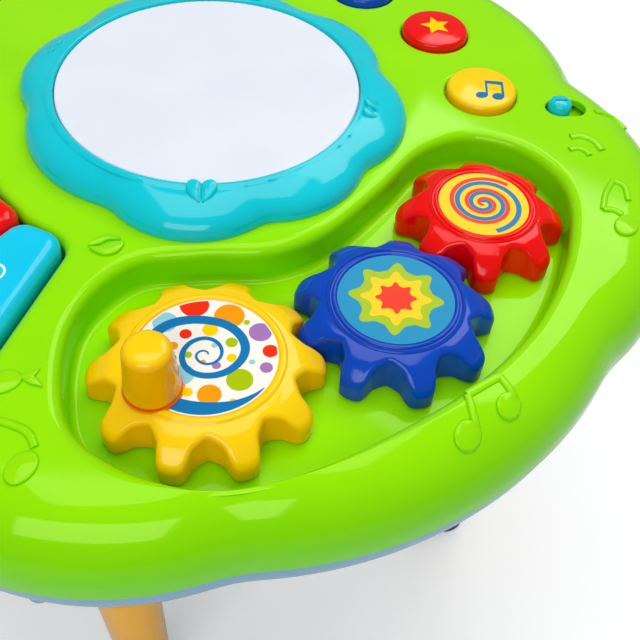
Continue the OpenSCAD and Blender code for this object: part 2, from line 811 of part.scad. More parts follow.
module key_pad() {
    color(rubber) union() {
        fan_plate(plunger_at - 8, plunger_at + 8, fan_angle / 2 - 3,
            key_board_z + board_t, key_board_z + board_t + pad_sheet_t);
        for (i = [0 : key_count - 1])
            translate(fan_at + polar(plunger_at, key_turn(i)))
                post(dome_r, key_board_z + board_t + 0.5, key_dome_top);
    }
}

// ======================= gears =======================
// Outline of a toothed wheel: involute flanks, rounded tips and gaps
function tooth_flank(teeth, r) = let(
    base = pitch_r(teeth) * cos(pressure),
    at = acos(min(1, base / r)),
    pitch_turn = tan(pressure) * 180 / PI - pressure,
    half = (180 / teeth) * (0.5 - backlash / (2 * PI * gear_module)))
    half + pitch_turn - (tan(at) * 180 / PI - at);
function tooth_side(teeth) = let(
    p = pitch_r(teeth), root = p - tooth_root, tip = p + tooth_tip,
    tip_round = 3.2, tip_turn = tooth_flank(teeth, tip - tip_round),
    root_turn = tooth_flank(teeth, p - 2), pitch = 180 / teeth)
    [polar(root, pitch), polar(root + 0.3, pitch * 0.8 + root_turn * 0.2),
        polar(root + 1.2, pitch * 0.5 + root_turn * 0.5),
        polar(p - 3.2, root_turn + (pitch - root_turn) * 0.22),
        polar(p - 2, root_turn),
        polar(p, tooth_flank(teeth, p)),
        polar(tip - tip_round, tip_turn),
        polar(tip - 1.2, tip_turn * 0.82),
        polar(tip - 0.3, tip_turn * 0.52),
        polar(tip, tip_turn * 0.18)];
function wheel_outline(teeth) = let(
    side = tooth_side(teeth), n = len(side), pitch = 360 / teeth)
    [for (k = [0 : teeth - 1])
        each concat([for (i = [0 : n - 1])
                turned([side[i][0], -side[i][1]], pitch * k)],
            [for (i = [1 : n - 1])
                turned(side[n - i], pitch * k)])];

module toothed_wheel(teeth, label_r) {
    p = pitch_r(teeth);
    ring_r = label_r + ring_w;
    cavity_r = p - tooth_root - gear_skin;
    difference() {
        intersection() {
            translate([0, 0, gear_low - cut]) linear_extrude(gear_h + 2)
                polygon(wheel_outline(teeth));
            rotate_extrude($fn = 180) polygon([[0, gear_low],
                [p + tooth_tip + 1, gear_low],
                [p + tooth_tip + 1, gear_top - tip_drop - 0.4],
                [p + 0.8, gear_top - tip_drop * 0.62],
                [p - tooth_root - 0.6, gear_top - tip_drop * 0.26],
                [ring_r, gear_top - 0.6], [ring_r - 0.6, gear_top],
                [0, gear_top]]);
        }
        post(label_r, gear_top - label_t - 0.5, gear_top + cut);
        ring(cavity_r, stem_r + 3, gear_low - cut, gear_top - gear_skin - 2);
    }
}

module gear(teeth, label_r, at, phase) {
    translate(at) difference() {
        union() {
            rotate(phase) toothed_wheel(teeth, label_r);
            post(stem_r, stem_low, gear_low + 2);
        }
        post(gear_screw_r, stem_low - cut, stem_low + gear_screw_len);
    }
}

knob_at = yellow_at + polar(knob_offset, knob_side);
knob_boss_low = gear_top - gear_skin - 5;
label_z = gear_top - label_t - 0.5;

module gear_yellow() {
    color(yellow) difference() {
        union() {
            gear(yellow_teeth, yellow_label_r, yellow_at, yellow_phase);
            translate(knob_at)
                post(knob_r + 0.8, knob_boss_low, gear_top);
        }
        translate(knob_at) post(knob_screw_r + shaft_gap, gear_low - 1,
            gear_top + cut);
        translate(knob_at) post(knob_screw_head_r + 1, gear_low - 1,
            knob_boss_low + cut / 100);
    }
}

module gear_blue() {
    color(blue) gear(blue_teeth, blue_label_r, blue_at, blue_phase);
}

module gear_red() {
    color(red) gear(red_teeth, red_label_r, red_at, red_phase);
}

module label(radius, at, tint) {
    color(tint) translate(at) post(radius - 0.15, label_z, label_z + label_t);
}

module label_dots() {
    difference() {
        label(yellow_label_r, yellow_at, milk);
        translate(knob_at) post(knob_r + 0.95, label_z - 1, gear_top + 1);
    }
}

module label_star() {
    label(blue_label_r, blue_at, cyan);
}

module label_swirl() {
    label(red_label_r, red_at, orange);
}

// Screw and washer that hold a gear's stem below the pocket floor
module gear_screw(at) {
    color(steel) translate(at) union() {
        post(washer_r, stem_low - washer_t, stem_low);
        post(gear_screw_r * 2, stem_low - washer_t - 2, stem_low - 0.5);
        post(gear_screw_r, stem_low - 1, stem_low + gear_screw_len - 1);
    }
}

// The knob turns with its shoulder screw in the yellow gear
module turning_knob() {
    foot = gear_top + knob_foot_gap;
    top = foot + knob_h;
    color(orange) translate(knob_at) difference() {
        union() {
            rotate_extrude($fn = 96) union() {
                polygon([[0, foot], [knob_r - 0.3, foot], [knob_r, foot + 0.8],
                    [knob_r * 0.84, top - 4.5], [0, top - 4.5]]);
                translate([0, top - 5]) square([knob_r * 0.84 - 4.5, 5]);
                intersection() {
                    translate([knob_r * 0.84 - 4.5, top - 4.5]) circle(4.5);
                    translate([knob_r * 0.84 - 4.5, top - 4.6])
                        square([4.6, 4.6]);
                }
            }
        }
        post(knob_screw_r - 0.6, foot - cut, foot + 12);
    }
}

module knob_screw() {
    low = knob_boss_low - knob_foot_gap;
    color(steel) translate(knob_at) union() {
        post(knob_screw_head_r, low - knob_screw_head_h, low);
        post(knob_screw_r, low - 0.5, gear_top + knob_foot_gap);
        post(knob_screw_r - 0.6, gear_top, gear_top + knob_foot_gap + 11.5);
    }
}

// ======================= buttons and switch =======================
module round_button(i, tint) {
    top = deck_top + button_rise;
    color(tint) translate(button_at(i)) union() {
        rotate_extrude($fn = 128) union() {
            translate([0, ceiling_z - 4])
                square([button_r, top - 3 - ceiling_z + 4]);
            translate([0, top - 4]) square([button_r - 3, 4]);
            intersection() {
                translate([button_r - 3, top - 3]) circle(3);
                translate([button_r - 3.1, top - 3.1]) square([3.2, 3.2]);
            }
        }
        post(button_flange_r, ceiling_z - seat_gap - 2, ceiling_z - seat_gap);
        post(plunger_r, button_foot, ceiling_z);
    }
}

// A flat sector about the middle of the deck
module arc_plate(inner, outer, half, low, high) {
    steps = 10;
    translate([0, 0, low]) linear_extrude(high - low) polygon(concat(
        [for (k = [0 : steps]) polar(outer, -half + 2 * half * k / steps)],
        [for (k = [0 : steps]) polar(inner, half - 2 * half * k / steps)]));
}

module button_board() {
    color(board_green) difference() {
        union() {
            arc_plate(board_in, board_out, board_reach, button_board_z,
                button_board_z + board_t);
            rotate(slider_angle)
                translate([(button_ring_r + switch_reach) / 2, 0, 0])
                    block([switch_reach - button_ring_r, slider_plate[1]],
                        button_board_z, button_board_z + board_t);
        }
        for (at = board_boss_list) translate(at)
            post(screw_r, button_board_z - cut, deck_top);
    }
}

module button_pad() {
    color(rubber) for (i = [0 : 2]) translate(button_at(i)) union() {
        post(dome_r + 3, button_board_z + board_t,
            button_board_z + board_t + pad_sheet_t);
        post(dome_r, button_board_z + board_t, button_dome_top);
    }
}

// Slide switch: the knob, its plate below the deck and its tongue
module slide_switch() {
    color(cyan) rotate(slider_angle) translate([slider_r, 0, 0]) union() {
        for (side = [-1, 1]) translate([side * 0.5, 0, 0])
            rolled_disc(slider_w / 2 - 0.5, slider_plate_top - 1,
                deck_top + 4, 3);
        block(slider_plate, slider_plate_top - slider_plate_t,
            slider_plate_top);
        block([tongue_w, tongue_w], slider_tongue_low, slider_plate_top - 1);
    }
}

module switch_body() {
    low = button_board_z + board_t;
    room = [slider_travel + tongue_w + 2 * move_gap,
        tongue_w + 2 * move_gap];
    color(steel) rotate(slider_angle) translate([slot_r, 0, 0])
        difference() {
            block(room + [5, 5], low, slider_tongue_low + 2.5);
            block(room, slider_tongue_low - move_gap, deck_top);
        }
}

// ======================= roller =======================
module roller() {
    ribs = 5;
    rib_pitch = roller_len / ribs;
    color(red) translate([0, roller_y, roller_z]) rotate([0, 90, 0])
        difference() {
            union() {
                translate([0, 0, -roller_len / 2])
                    cylinder(r = roller_r - 1.6, h = roller_len);
                for (k = [0 : ribs - 1]) translate([0, 0,
                    -roller_len / 2 + rib_pitch * k + 1])
                    cylinder(r = roller_r, h = rib_pitch - 2);
            }
            cylinder(r = axle_r, h = roller_len + 2, center = true);
        }
}

module roller_axle() {
    color(steel) translate([0, roller_y, roller_z]) rotate([0, 90, 0])
        cylinder(r = axle_r, center = true,
            h = roller_slot_len + 2 * roller_ear_t);
}

// ======================= power and sound =======================
module speaker() {
    color(steel) translate(speaker_at) union() {
        post(speaker_r, speaker_z, speaker_z + 2);
        translate([0, 0, speaker_z]) rotate_extrude($fn = 96)
            polygon([[0, 1], [speaker_r - 2, 1], [speaker_r - 2, 3],
                [12, 9], [12, speaker_h], [0, speaker_h]]);
    }
}

module main_board() {
    color(board_green) translate(main_at) union() {
        block(main_size, main_z, main_z + board_t);
        translate([-12, 4]) block([16, 16], main_z + 1, main_z + 4);
        translate([18, 10]) block([10, 7], main_z + 1, main_z + 3.5);
        for (k = [0 : 2]) translate([-34 + 9 * k, -20])
            post(3, main_z + 1, main_z + 8);
        for (k = [0 : 2]) translate([14 + 14 * k, -22])
            block([10, 5], main_z + 1, main_z + 7);
    }
}

module battery_door() {
    color(sky) difference() {
        translate(battery_at) union() {
            block(door_size, base_z, base_z + door_t);
            block(battery_in - [1, 1], base_z + 1, base_z + door_t + 1.4);
        }
        translate(battery_at + [door_screw_x, 0])
            post(screw_r, base_z - cut, base_z + door_t + cut);
        translate(battery_at + [door_screw_x, 0])
            post(screw_head_r, base_z - cut, base_z + 1);
    }
}

module door_screw() {
    color(steel) translate(battery_at + [door_screw_x, 0]) union() {
        post(screw_head_r - 0.2, base_z, base_z + 1);
        post(screw_r, base_z + 0.5, base_z + 9.5);
    }
}

module battery_cells() {
    for (k = [0 : cell_count - 1])
        translate(battery_at + [0, (k - (cell_count - 1) / 2)
            * (cell_d + cell_gap)])
            translate([0, 0, cell_z]) rotate([0, k % 2 == 0 ? 90 : -90, 0])
                color("#2F6FB0") union() {
                    translate([0, 0, -cell_len / 2])
                        cylinder(d = cell_d, h = cell_len - 1);
                    translate([0, 0, cell_len / 2 - 2])
                        cylinder(d = 5.5, h = 2);
                }
}

module battery_contacts() {
    reach = cell_len / 2 + contact_room;
    color(steel) for (k = [0 : cell_count - 1], side = [-1, 1])
        translate(battery_at + [0, (k - (cell_count - 1) / 2)
            * (cell_d + cell_gap)])
            translate([0, 0, cell_z]) rotate([0, 90 * side, 0]) union() {
                translate([-5, -5, reach - contact_t])
                    cube([10, 10, contact_t]);
                translate([0, 0, cell_len / 2])
                    cylinder(d1 = 5, d2 = 9,
                        h = contact_room - contact_t / 2);
            }
}

// ======================= legs =======================
module leg(at) {
    color(orange) translate(at) rotate_extrude($fn = 96) polygon([
        [0, foot_base], [leg_foot_r - foot_wall, foot_base],
        [leg_foot_r - foot_wall, foot_h], [leg_foot_r, foot_h],
        [leg_r, base_z - 14], [leg_r + 1.5, base_z - 4],
        [leg_r + 1.5, base_z], [leg_plug_r, base_z],
        [leg_plug_r, base_z + plug_len - 2],
        [leg_plug_r - 2, base_z + plug_len],
        [leg_plug_r - leg_wall - 1, base_z + plug_len],
        [leg_plug_r - leg_wall - 1, base_z - 6],
        [leg_foot_r - leg_wall - 3, foot_h + 4], [0, foot_h + 4]]);
}

module leg_feet() {
    color(rubber) for (at = leg_places) translate(at)
        rotate_extrude($fn = 96) polygon([[0, 0], [leg_foot_r, 0],
            [leg_foot_r + 1.5, 1.5], [leg_foot_r + 1.5, foot_h],
            [leg_foot_r - foot_wall, foot_h],
            [leg_foot_r - foot_wall, foot_base], [0, foot_base]]);
}

deck_shell();
base_shell();
drum_frame();
drum_head();
drum_tray();
drum_pad();
light_board();
key(0, orange);  // key_1
key(1, yellow);  // key_2
key(2, lime);  // key_3
key(3, red);  // key_4
key(4, cyan);  // key_5
key_bracket();
key_pins();
key_pad();
key_board();
gear_yellow();
gear_blue();
gear_red();
label_dots();
label_star();
label_swirl();
gear_screw(yellow_at);  // gear_screw_yellow
gear_screw(blue_at);  // gear_screw_blue
gear_screw(red_at);  // gear_screw_red
turning_knob();
knob_screw();
round_button(0, yellow);  // button_1
round_button(1, red);  // button_2
round_button(2, blue);  // button_3
button_pad();
button_board();
slide_switch();
switch_body();
roller();
roller_axle();
speaker();
main_board();
battery_door();
door_screw();
battery_cells();
battery_contacts();
casing_screws();
inner_screws();
leg(leg_places[0]);  // leg_front_left
leg(leg_places[1]);  // leg_front_right
leg(leg_places[2]);  // leg_back_left
leg(leg_places[3]);  // leg_back_right
leg_feet();
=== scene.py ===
"""A toddler's musical activity table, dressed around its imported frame.

The deck is one glossy lime moulding with a drum, a pocket with three gears,
a fan of keys, round buttons, a slide switch and a roller. Lengths in this
script are millimetres until they are multiplied by MM.
"""
import json
import math

import bmesh
import bpy
from mathutils import Matrix, Vector


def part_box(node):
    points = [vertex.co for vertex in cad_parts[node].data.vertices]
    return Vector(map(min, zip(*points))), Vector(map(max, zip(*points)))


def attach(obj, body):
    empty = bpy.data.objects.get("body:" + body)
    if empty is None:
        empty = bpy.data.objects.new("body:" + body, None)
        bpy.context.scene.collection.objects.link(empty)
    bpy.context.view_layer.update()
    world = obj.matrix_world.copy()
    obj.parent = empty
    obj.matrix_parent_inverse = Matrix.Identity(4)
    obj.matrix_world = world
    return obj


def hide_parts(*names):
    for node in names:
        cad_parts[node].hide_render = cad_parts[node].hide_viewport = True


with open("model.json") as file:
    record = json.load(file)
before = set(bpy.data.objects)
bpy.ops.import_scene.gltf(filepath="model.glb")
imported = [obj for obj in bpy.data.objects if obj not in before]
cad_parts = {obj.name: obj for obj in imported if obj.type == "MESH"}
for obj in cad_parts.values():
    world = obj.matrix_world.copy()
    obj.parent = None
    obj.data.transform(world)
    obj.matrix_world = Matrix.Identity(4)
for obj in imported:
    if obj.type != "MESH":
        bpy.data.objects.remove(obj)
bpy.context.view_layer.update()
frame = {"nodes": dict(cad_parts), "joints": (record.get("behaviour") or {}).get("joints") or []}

# ---------------------------------------------------------------- places
MM = 0.001


def box(name):
    """A CAD node's lowest and highest corner."""
    low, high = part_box(name)
    return low / MM, high / MM


def middle(name):
    """The middle of a CAD node's box."""
    low, high = box(name)
    return (low + high) / 2


def pivot(joint):
    """A point on a joint's axis."""
    found = next(j for j in frame["joints"] if j["name"] == joint)
    return Vector(found["pos_m"]) / MM


def polar(radius, degrees):
    """The flat vector of a length and a direction."""
    turn = math.radians(degrees)
    return Vector((radius * math.cos(turn), radius * math.sin(turn)))


DECK_TOP = box("deck_shell")[1].z
# Height at which the two casings meet, and that of the lower one's underside
PART_Z = box("deck_shell")[0].z
BASE_Z = 238.0
RIM_ROUND = 26.0
WALL = 3.0
BASE_INSET = 1.5
# The outline's eight lobes, counter-clockwise: centre and radius
LOBES = [(Vector((80, 0)), 118), (Vector((71, 79)), 113),
         (Vector((0, 41)), 172.5), (Vector((-71, 79)), 113),
         (Vector((-80, 0)), 118), (Vector((-71, -79)), 113),
         (Vector((0, -41)), 172.5), (Vector((71, -79)), 113)]
DRUM = middle("drum_head").xy
HEAD_R = 68.0
FRAME_TOP = box("drum_frame")[1].z
# Petals of the drum frame: direction, reach and roundness
PETALS = [(-177, 83.5, 58), (-123, 89, 41), (-82, 86.5, 42), (-39, 90, 44),
          (6, 89, 42), (48, 89, 42), (91, 89, 42), (133, 89, 42)]
FRAME_BASE_R = 80.0
POCKET_POINTS = [Vector(p) for p in (
    (-113, -124), (-106, -151), (-85, -173), (-57, -183), (-20, -185.5),
    (18, -183), (55, -172), (90, -150), (114, -122), (115, -94), (99, -74),
    (74, -71), (44, -83), (12, -93.5), (-14, -93.5), (-42, -80),
    (-68, -72.5), (-96, -88))]
POCKET_FLOOR = 284.0
GEAR_LOW = 284.4
GEAR_TOP = 302.0
GEAR_MODULE = 7.72
GEAR_PRESSURE = math.radians(22)
TOOTH_TIP = 4.8
TOOTH_ROOT = 5.6
TOOTH_PLAY = 1.3
FAN = Vector((-24, 0))
FAN_ANGLE = 82.0
KEY_PITCH = FAN_ANGLE / 5
KEY_INNER = 104.0
KEY_OUTER = 148.0
KEY_ROUND = 8.0
OPEN_GAP = 1.0
POCKET_TUB = 2.5
ROLLER = pivot("roller_spin")
ROLLER_LENGTH = 100.0
BUTTONS = [middle(f"button_{i}").xy for i in (1, 2, 3)]
SWITCH = middle("slide_switch").xy
SWITCH_ANGLE = -27.5
SWITCH_TRAVEL = 6
# Openings of the deck: radius, or length and width
DRUM_HOLE_R = 73.2
BUTTON_HOLE_R = 17
ROLLER_HOLE = (102, 34.2)
SWITCH_HOLE = (19, 12)
STEM_BORE_R = 6.06
# The cutters reach from below the deck's wall to above its top
CUTTER_LOW = 250
CUTTER_TOP = DECK_TOP + 4


# ---------------------------------------------------------------- outlines
def notch(a, b, inset):
    """Where two neighbouring lobes cross, both drawn in by inset."""
    (ca, ra), (cb, rb) = a, b
    ra, rb = ra - inset, rb - inset
    apart = (cb - ca).length
    along = (apart ** 2 + ra ** 2 - rb ** 2) / (2 * apart)
    off = math.sqrt(ra ** 2 - along ** 2)
    u = (cb - ca) / apart
    return ca + along * u + off * Vector((u.y, -u.x))


def smoothed(points, passes):
    """Each point of a closed outline moved towards its neighbours."""
    for _ in range(passes):
        points = [(points[i - 1] + 2 * p + points[(i + 1) % len(points)]) / 4
                  for i, p in enumerate(points)]
    return points


def lobed(inset, steps=40, soften=4):
    """The casing's outline, drawn in by inset, with softened notches."""
    points = []
    for i, (centre, radius) in enumerate(LOBES):
        start = notch(LOBES[i - 1], LOBES[i], inset) - centre
        end = notch(LOBES[i], LOBES[(i + 1) % len(LOBES)], inset) - centre
        first = math.atan2(start.y, start.x)
        turn = (math.atan2(end.y, end.x) - first) % (2 * math.pi)
        for k in range(steps):
            at = first + turn * k / steps
            points.append(centre + (radius - inset)
                          * Vector((math.cos(at), math.sin(at))))
    return smoothed(points, soften)


def deck_height(x, y):
    """Height of the deck's surface at a place, on the rolled rim too."""
    depth = max(radius - (Vector((x, y)) - centre).length
                for centre, radius in LOBES)
    if depth >= RIM_ROUND:
        return DECK_TOP
    return DECK_TOP - RIM_ROUND + math.sqrt(
        RIM_ROUND ** 2 - (RIM_ROUND - max(depth, 0)) ** 2)


def grown(points, by):
    """A closed counter-clockwise outline moved outwards."""
    out = []
    for i, p in enumerate(points):
        along = points[(i + 1) % len(points)] - points[i - 1]
        out.append(p + Vector((along.y, -along.x)).normalized() * by)
    return out


def stretch(a, b, c, d, steps):
    """The smooth curve from b to just before c, with a and d beyond."""
    return [0.5 * (2 * b + (c - a) * t
                   + (2 * a - 5 * b + 4 * c - d) * t ** 2
                   + (3 * b - a - 3 * c + d) * t ** 3)
            for t in (k / steps for k in range(steps))]


def curve_loop(points, steps):
    """The smooth closed curve through a few points."""
    out = []
    for i in range(len(points)):
        four = [points[(i + k) % len(points)] for k in (-1, 0, 1, 2)]
        out += stretch(*four, steps)
    return out


def curve_path(points, steps):
    """The smooth open curve through a few points."""
    ends = [2 * points[0] - points[1], *points, 2 * points[-1] - points[-2]]
    out = []
    for four in zip(ends, ends[1:], ends[2:], ends[3:]):
        out += stretch(*four, steps)
    return out + [points[-1]]


def corner_arc(a, b, c, radius, steps=9):
    """The arc that rounds corner b between a and c, counter-clockwise."""
    u, v = (a - b).normalized(), (c - b).normalized()
    half = u.angle(v) / 2
    centre = b + (u + v).normalized() * radius / math.sin(half)
    start = b + u * radius / math.tan(half) - centre
    first = math.degrees(math.atan2(start.y, start.x))
    turn = 180 - 2 * math.degrees(half)
    return [centre + polar(radius, first + turn * k / steps)
            for k in range(steps + 1)]


def circle(centre, radius, steps=96):
    """A round outline, counter-clockwise."""
    return [Vector(centre[:2]) + polar(radius, 360 * k / steps)
            for k in range(steps)]


def quarter(steps):
    """Steps along a quarter round, from its foot: the share of its radius
    that each lies inwards, and the share that it lies below the top."""
    turns = [math.pi / 2 * k / steps for k in range(steps + 1)]
    return [(1 - math.cos(turn), 1 - math.sin(turn)) for turn in turns]


def key_turn(i):
    """Direction of a key from the fan's centre."""
    return 180 - FAN_ANGLE / 2 + KEY_PITCH * (i + 0.5)


def to_drum_circle(turn, radius):
    """Distance from the fan's centre to a circle about the drum."""
    away = FAN - DRUM
    along = away.dot(polar(1, turn))
    return -along + math.sqrt(along ** 2 - away.dot(away) + radius ** 2)


def key_outline(i, inset):
    """Outline of a key, drawn in by inset: a sector with rounded corners."""
    half = KEY_PITCH / 2
    side = OPEN_GAP / 2 + inset
    inner = to_drum_circle(key_turn(i), KEY_INNER) + inset
    outer = KEY_OUTER - inset
    low_y = (inner * math.tan(math.radians(half))
             - side / math.cos(math.radians(half)))
    spread = half - math.degrees(math.asin(side / outer))
    a, d = Vector((inner, -low_y)), Vector((inner, low_y))
    b, c = polar(outer, -spread), polar(outer, spread)
    bow = [polar(outer, spread * k / 6) for k in range(-3, 4)]
    rounding = KEY_ROUND - inset * 0.8
    flat = (corner_arc(d, a, b, rounding) + corner_arc(a, b, bow[0], rounding)
            + bow + corner_arc(bow[-1], c, d, rounding)
            + corner_arc(c, d, a, rounding))
    turn = math.radians(key_turn(i))
    return [FAN + Vector((p.x * math.cos(turn) - p.y * math.sin(turn),
                          p.x * math.sin(turn) + p.y * math.cos(turn)))
            for p in flat]


def fan_outline(grow):
    """The opening round all five keys, larger than them by grow."""
    first, last = 180 - FAN_ANGLE / 2, 180 + FAN_ANGLE / 2
    near_r = 80
    lift = math.degrees(math.asin(grow / KEY_OUTER))
    lift_in = math.degrees(math.asin(grow / near_r))
    outer, steps = KEY_OUTER + grow, 32

    def inner_at(angle):
        return polar(to_drum_circle(angle, KEY_INNER - grow), angle)
    out_arc = [polar(outer, first + FAN_ANGLE * k / steps)
               for k in range(2, steps - 1)]
    in_arc = [inner_at(last - FAN_ANGLE * k / steps)
              for k in range(4, steps - 3)]
    o1, o2 = polar(outer, first - lift), polar(outer, last + lift)
    i1, i2 = inner_at(first - lift_in), inner_at(last + lift_in)
    rounding = KEY_ROUND + grow
    return [FAN + p for p in
            corner_arc(i1, o1, out_arc[0], rounding) + out_arc
            + corner_arc(out_arc[-1], o2, i2, rounding)
            + corner_arc(o2, i2, in_arc[0], rounding) + in_arc
            + corner_arc(in_arc[-1], i1, o1, rounding)]


POCKET = curve_loop(POCKET_POINTS, 12)


# ---------------------------------------------------------------- modelling
def nothing_selected():
    """Back to object mode, with every object deselected."""
    if bpy.context.object and bpy.context.object.mode != "OBJECT":
        bpy.ops.object.mode_set(mode="OBJECT")
    bpy.ops.object.select_all(action="DESELECT")


def only(piece):
    """One piece alone is selected and active."""
    nothing_selected()
    piece.select_set(True)
    bpy.context.view_layer.objects.active = piece


def lifted(outline, z):
    """A flat outline at a height, or at the height z gives at each point."""
    return [Vector((p.x, p.y, z(p.x, p.y) if callable(z) else z))
            for p in outline]


def lofted(name, loops, smooth=35, start=True, end=True):
    """A closed skin: a ring is laid on the first loop and extruded from
    loop to loop, and its two ends are capped."""
    nothing_selected()
    count = len(loops[0])
    bpy.ops.mesh.primitive_circle_add(vertices=count, radius=MM)
    piece = bpy.context.object
    piece.name = piece.data.name = name
    bpy.ops.object.mode_set(mode="EDIT")
    bpy.ops.mesh.select_mode(type="VERT")
    mesh = bmesh.from_edit_mesh(piece.data)
    mesh.verts.ensure_lookup_table()
    turn_of = list(range(count))
    for vert, spot in zip(mesh.verts, loops[0]):
        vert.co = spot * MM
    for step, loop in enumerate(loops[1:], 1):
        bpy.ops.mesh.extrude_region_move()
        mesh = bmesh.from_edit_mesh(piece.data)
        mesh.verts.index_update()
        mesh.verts.ensure_lookup_table()
        for vert in mesh.verts[step * count:]:
            below = next(e.other_vert(vert).index for e in vert.link_edges
                         if e.other_vert(vert).index < step * count)
            turn_of.append(turn_of[below])
            vert.co = loop[turn_of[below]] * MM
    if end:
        bpy.ops.mesh.edge_face_add()
    if start:
        bpy.ops.mesh.select_all(action="DESELECT")
        mesh = bmesh.from_edit_mesh(piece.data)
        mesh.verts.ensure_lookup_table()
        for vert in mesh.verts[:count]:
            vert.select_set(True)
        mesh.select_flush(True)
        bpy.ops.mesh.edge_face_add()
    bpy.ops.mesh.select_all(action="SELECT")
    bpy.ops.mesh.normals_make_consistent(inside=False)
    bpy.ops.object.mode_set(mode="OBJECT")
    settled(piece, smooth)
    return piece


def settled(piece, smooth=35):
    """The object's place goes into its mesh, and its curves shade smooth."""
    only(piece)
    bpy.ops.object.transform_apply(location=True, rotation=True, scale=True)
    bpy.ops.object.shade_smooth_by_angle(angle=math.radians(smooth))


def set_down(piece, at, angle, z=0.0, smooth=35):
    """A piece made at the origin is turned, moved and left there."""
    piece.rotation_euler = (0, 0, math.radians(angle))
    piece.location = Vector((at[0], at[1], z)) * MM
    settled(piece, smooth)


def joined(name, pieces):
    """Several pieces made one, under one name."""
    nothing_selected()
    for piece in pieces:
        piece.select_set(True)
    bpy.context.view_layer.objects.active = pieces[0]
    if len(pieces) > 1:
        bpy.ops.object.join()
    pieces[0].name = pieces[0].data.name = name
    return pieces[0]


def cut_or_fused(piece, tools, operation):
    """The solids of tools cut from a piece, or fused to it, one by one."""
    for tool in tools:
        only(piece)
        change = piece.modifiers.new("shape", "BOOLEAN")
        change.operation = operation
        change.solver = "EXACT"
        change.object = tool
        bpy.ops.object.modifier_apply(modifier="shape")
        only(tool)
        bpy.ops.object.delete()


def evened(piece, smooth=35):
    """Flat faces keep a flat shade up to the rounded edges beside them."""
    settled(piece, smooth)
    even = piece.modifiers.new("even", "WEIGHTED_NORMAL")
    even.mode = "FACE_AREA"
    even.weight = 100
    even.keep_sharp = True
    bpy.ops.object.modifier_apply(modifier="even")


def prism(name, outline, low, top, smooth=35):
    """An upright solid with a flat foot and top."""
    return lofted(name, [lifted(outline, low), lifted(outline, top)], smooth)


def turned_form(name, centre, profile, steps=96, smooth=35):
    """A form of revolution from (radius, height) pairs, bottom first."""
    return lofted(name, [lifted(circle(centre, max(r, 0.02), steps), z)
                         for r, z in profile], smooth)


def arc_profile(radius, top, rounding, steps=7):
    """(radius, height) pairs of a rounded upper edge."""
    return [(radius - rounding * inwards, top - rounding * down)
            for inwards, down in quarter(steps)]


def ribbon(name, path, widths, low, top, dome=0.0):
    """A strip along a flat path, as wide as widths says at each point. Its
    heights may follow the deck, and dome rounds its upper side."""
    loops = []
    for i, p in enumerate(path):
        along = (path[min(i + 1, len(path) - 1)]
                 - path[max(i - 1, 0)]).normalized()
        side = Vector((-along.y, along.x)) * widths[i] / 2
        here = top(p.x, p.y) if callable(top) else top
        foot = low(p.x, p.y) if callable(low) else low
        if dome:
            section = [(1, foot), (1, here + dome * 0.1)] + [
                (math.cos(a), here + dome * math.sin(a))
                for a in (0.7, 1.15, 1.57, 1.99, 2.44)] + [
                (-1, here + dome * 0.1), (-1, foot)]
        else:
            section = [(1, foot), (1, here), (-1, here), (-1, foot)]
        loops.append([Vector((*(p + side * s), z)) for s, z in section])
    return lofted(name, loops, 50)


def relief(name, outline, height, base=None, rim=0.7):
    """A low raised shape with rounded edges on the deck's surface."""
    base = base or deck_height
    if sum(outline[i - 1].cross(p) for i, p in enumerate(outline)) < 0:
        outline = outline[::-1]

    def at(rise):
        return lambda x, y: base(x, y) + rise
    return lofted(name, [
        lifted(outline, at(-0.6)), lifted(outline, at(height * 0.45)),
        lifted(grown(outline, -rim * 0.35), at(height * 0.82)),
        lifted(grown(outline, -rim), at(height))], 60)


def placed(piece, finish, body="table", stands_for=()):
    """A finished piece: its material, its body and what it stands for."""
    piece.data.materials.clear()
    piece.data.materials.append(finish)
    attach(piece, body)
    if stands_for:
        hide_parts(*stands_for)
    return piece


# ---------------------------------------------------------------- finishes
def linear(code):
    """The linear colour of an sRGB hex value."""
    parts = [int(code[i:i + 2], 16) / 255 for i in (1, 3, 5)]
    return [c / 12.92 if c <= 0.04045 else ((c + 0.055) / 1.055) ** 2.4
            for c in parts] + [1.0]


def node(tree, kind, links=(), **settings):
    """A shader node with its settings; links feeds its inputs."""
    made = tree.nodes.new(kind)
    for key, value in settings.items():
        setattr(made, key, value)
    for name, source in links:
        if isinstance(source, bpy.types.NodeSocket):
            tree.links.new(source, made.inputs[name])
        else:
            made.inputs[name].default_value = source
    return made


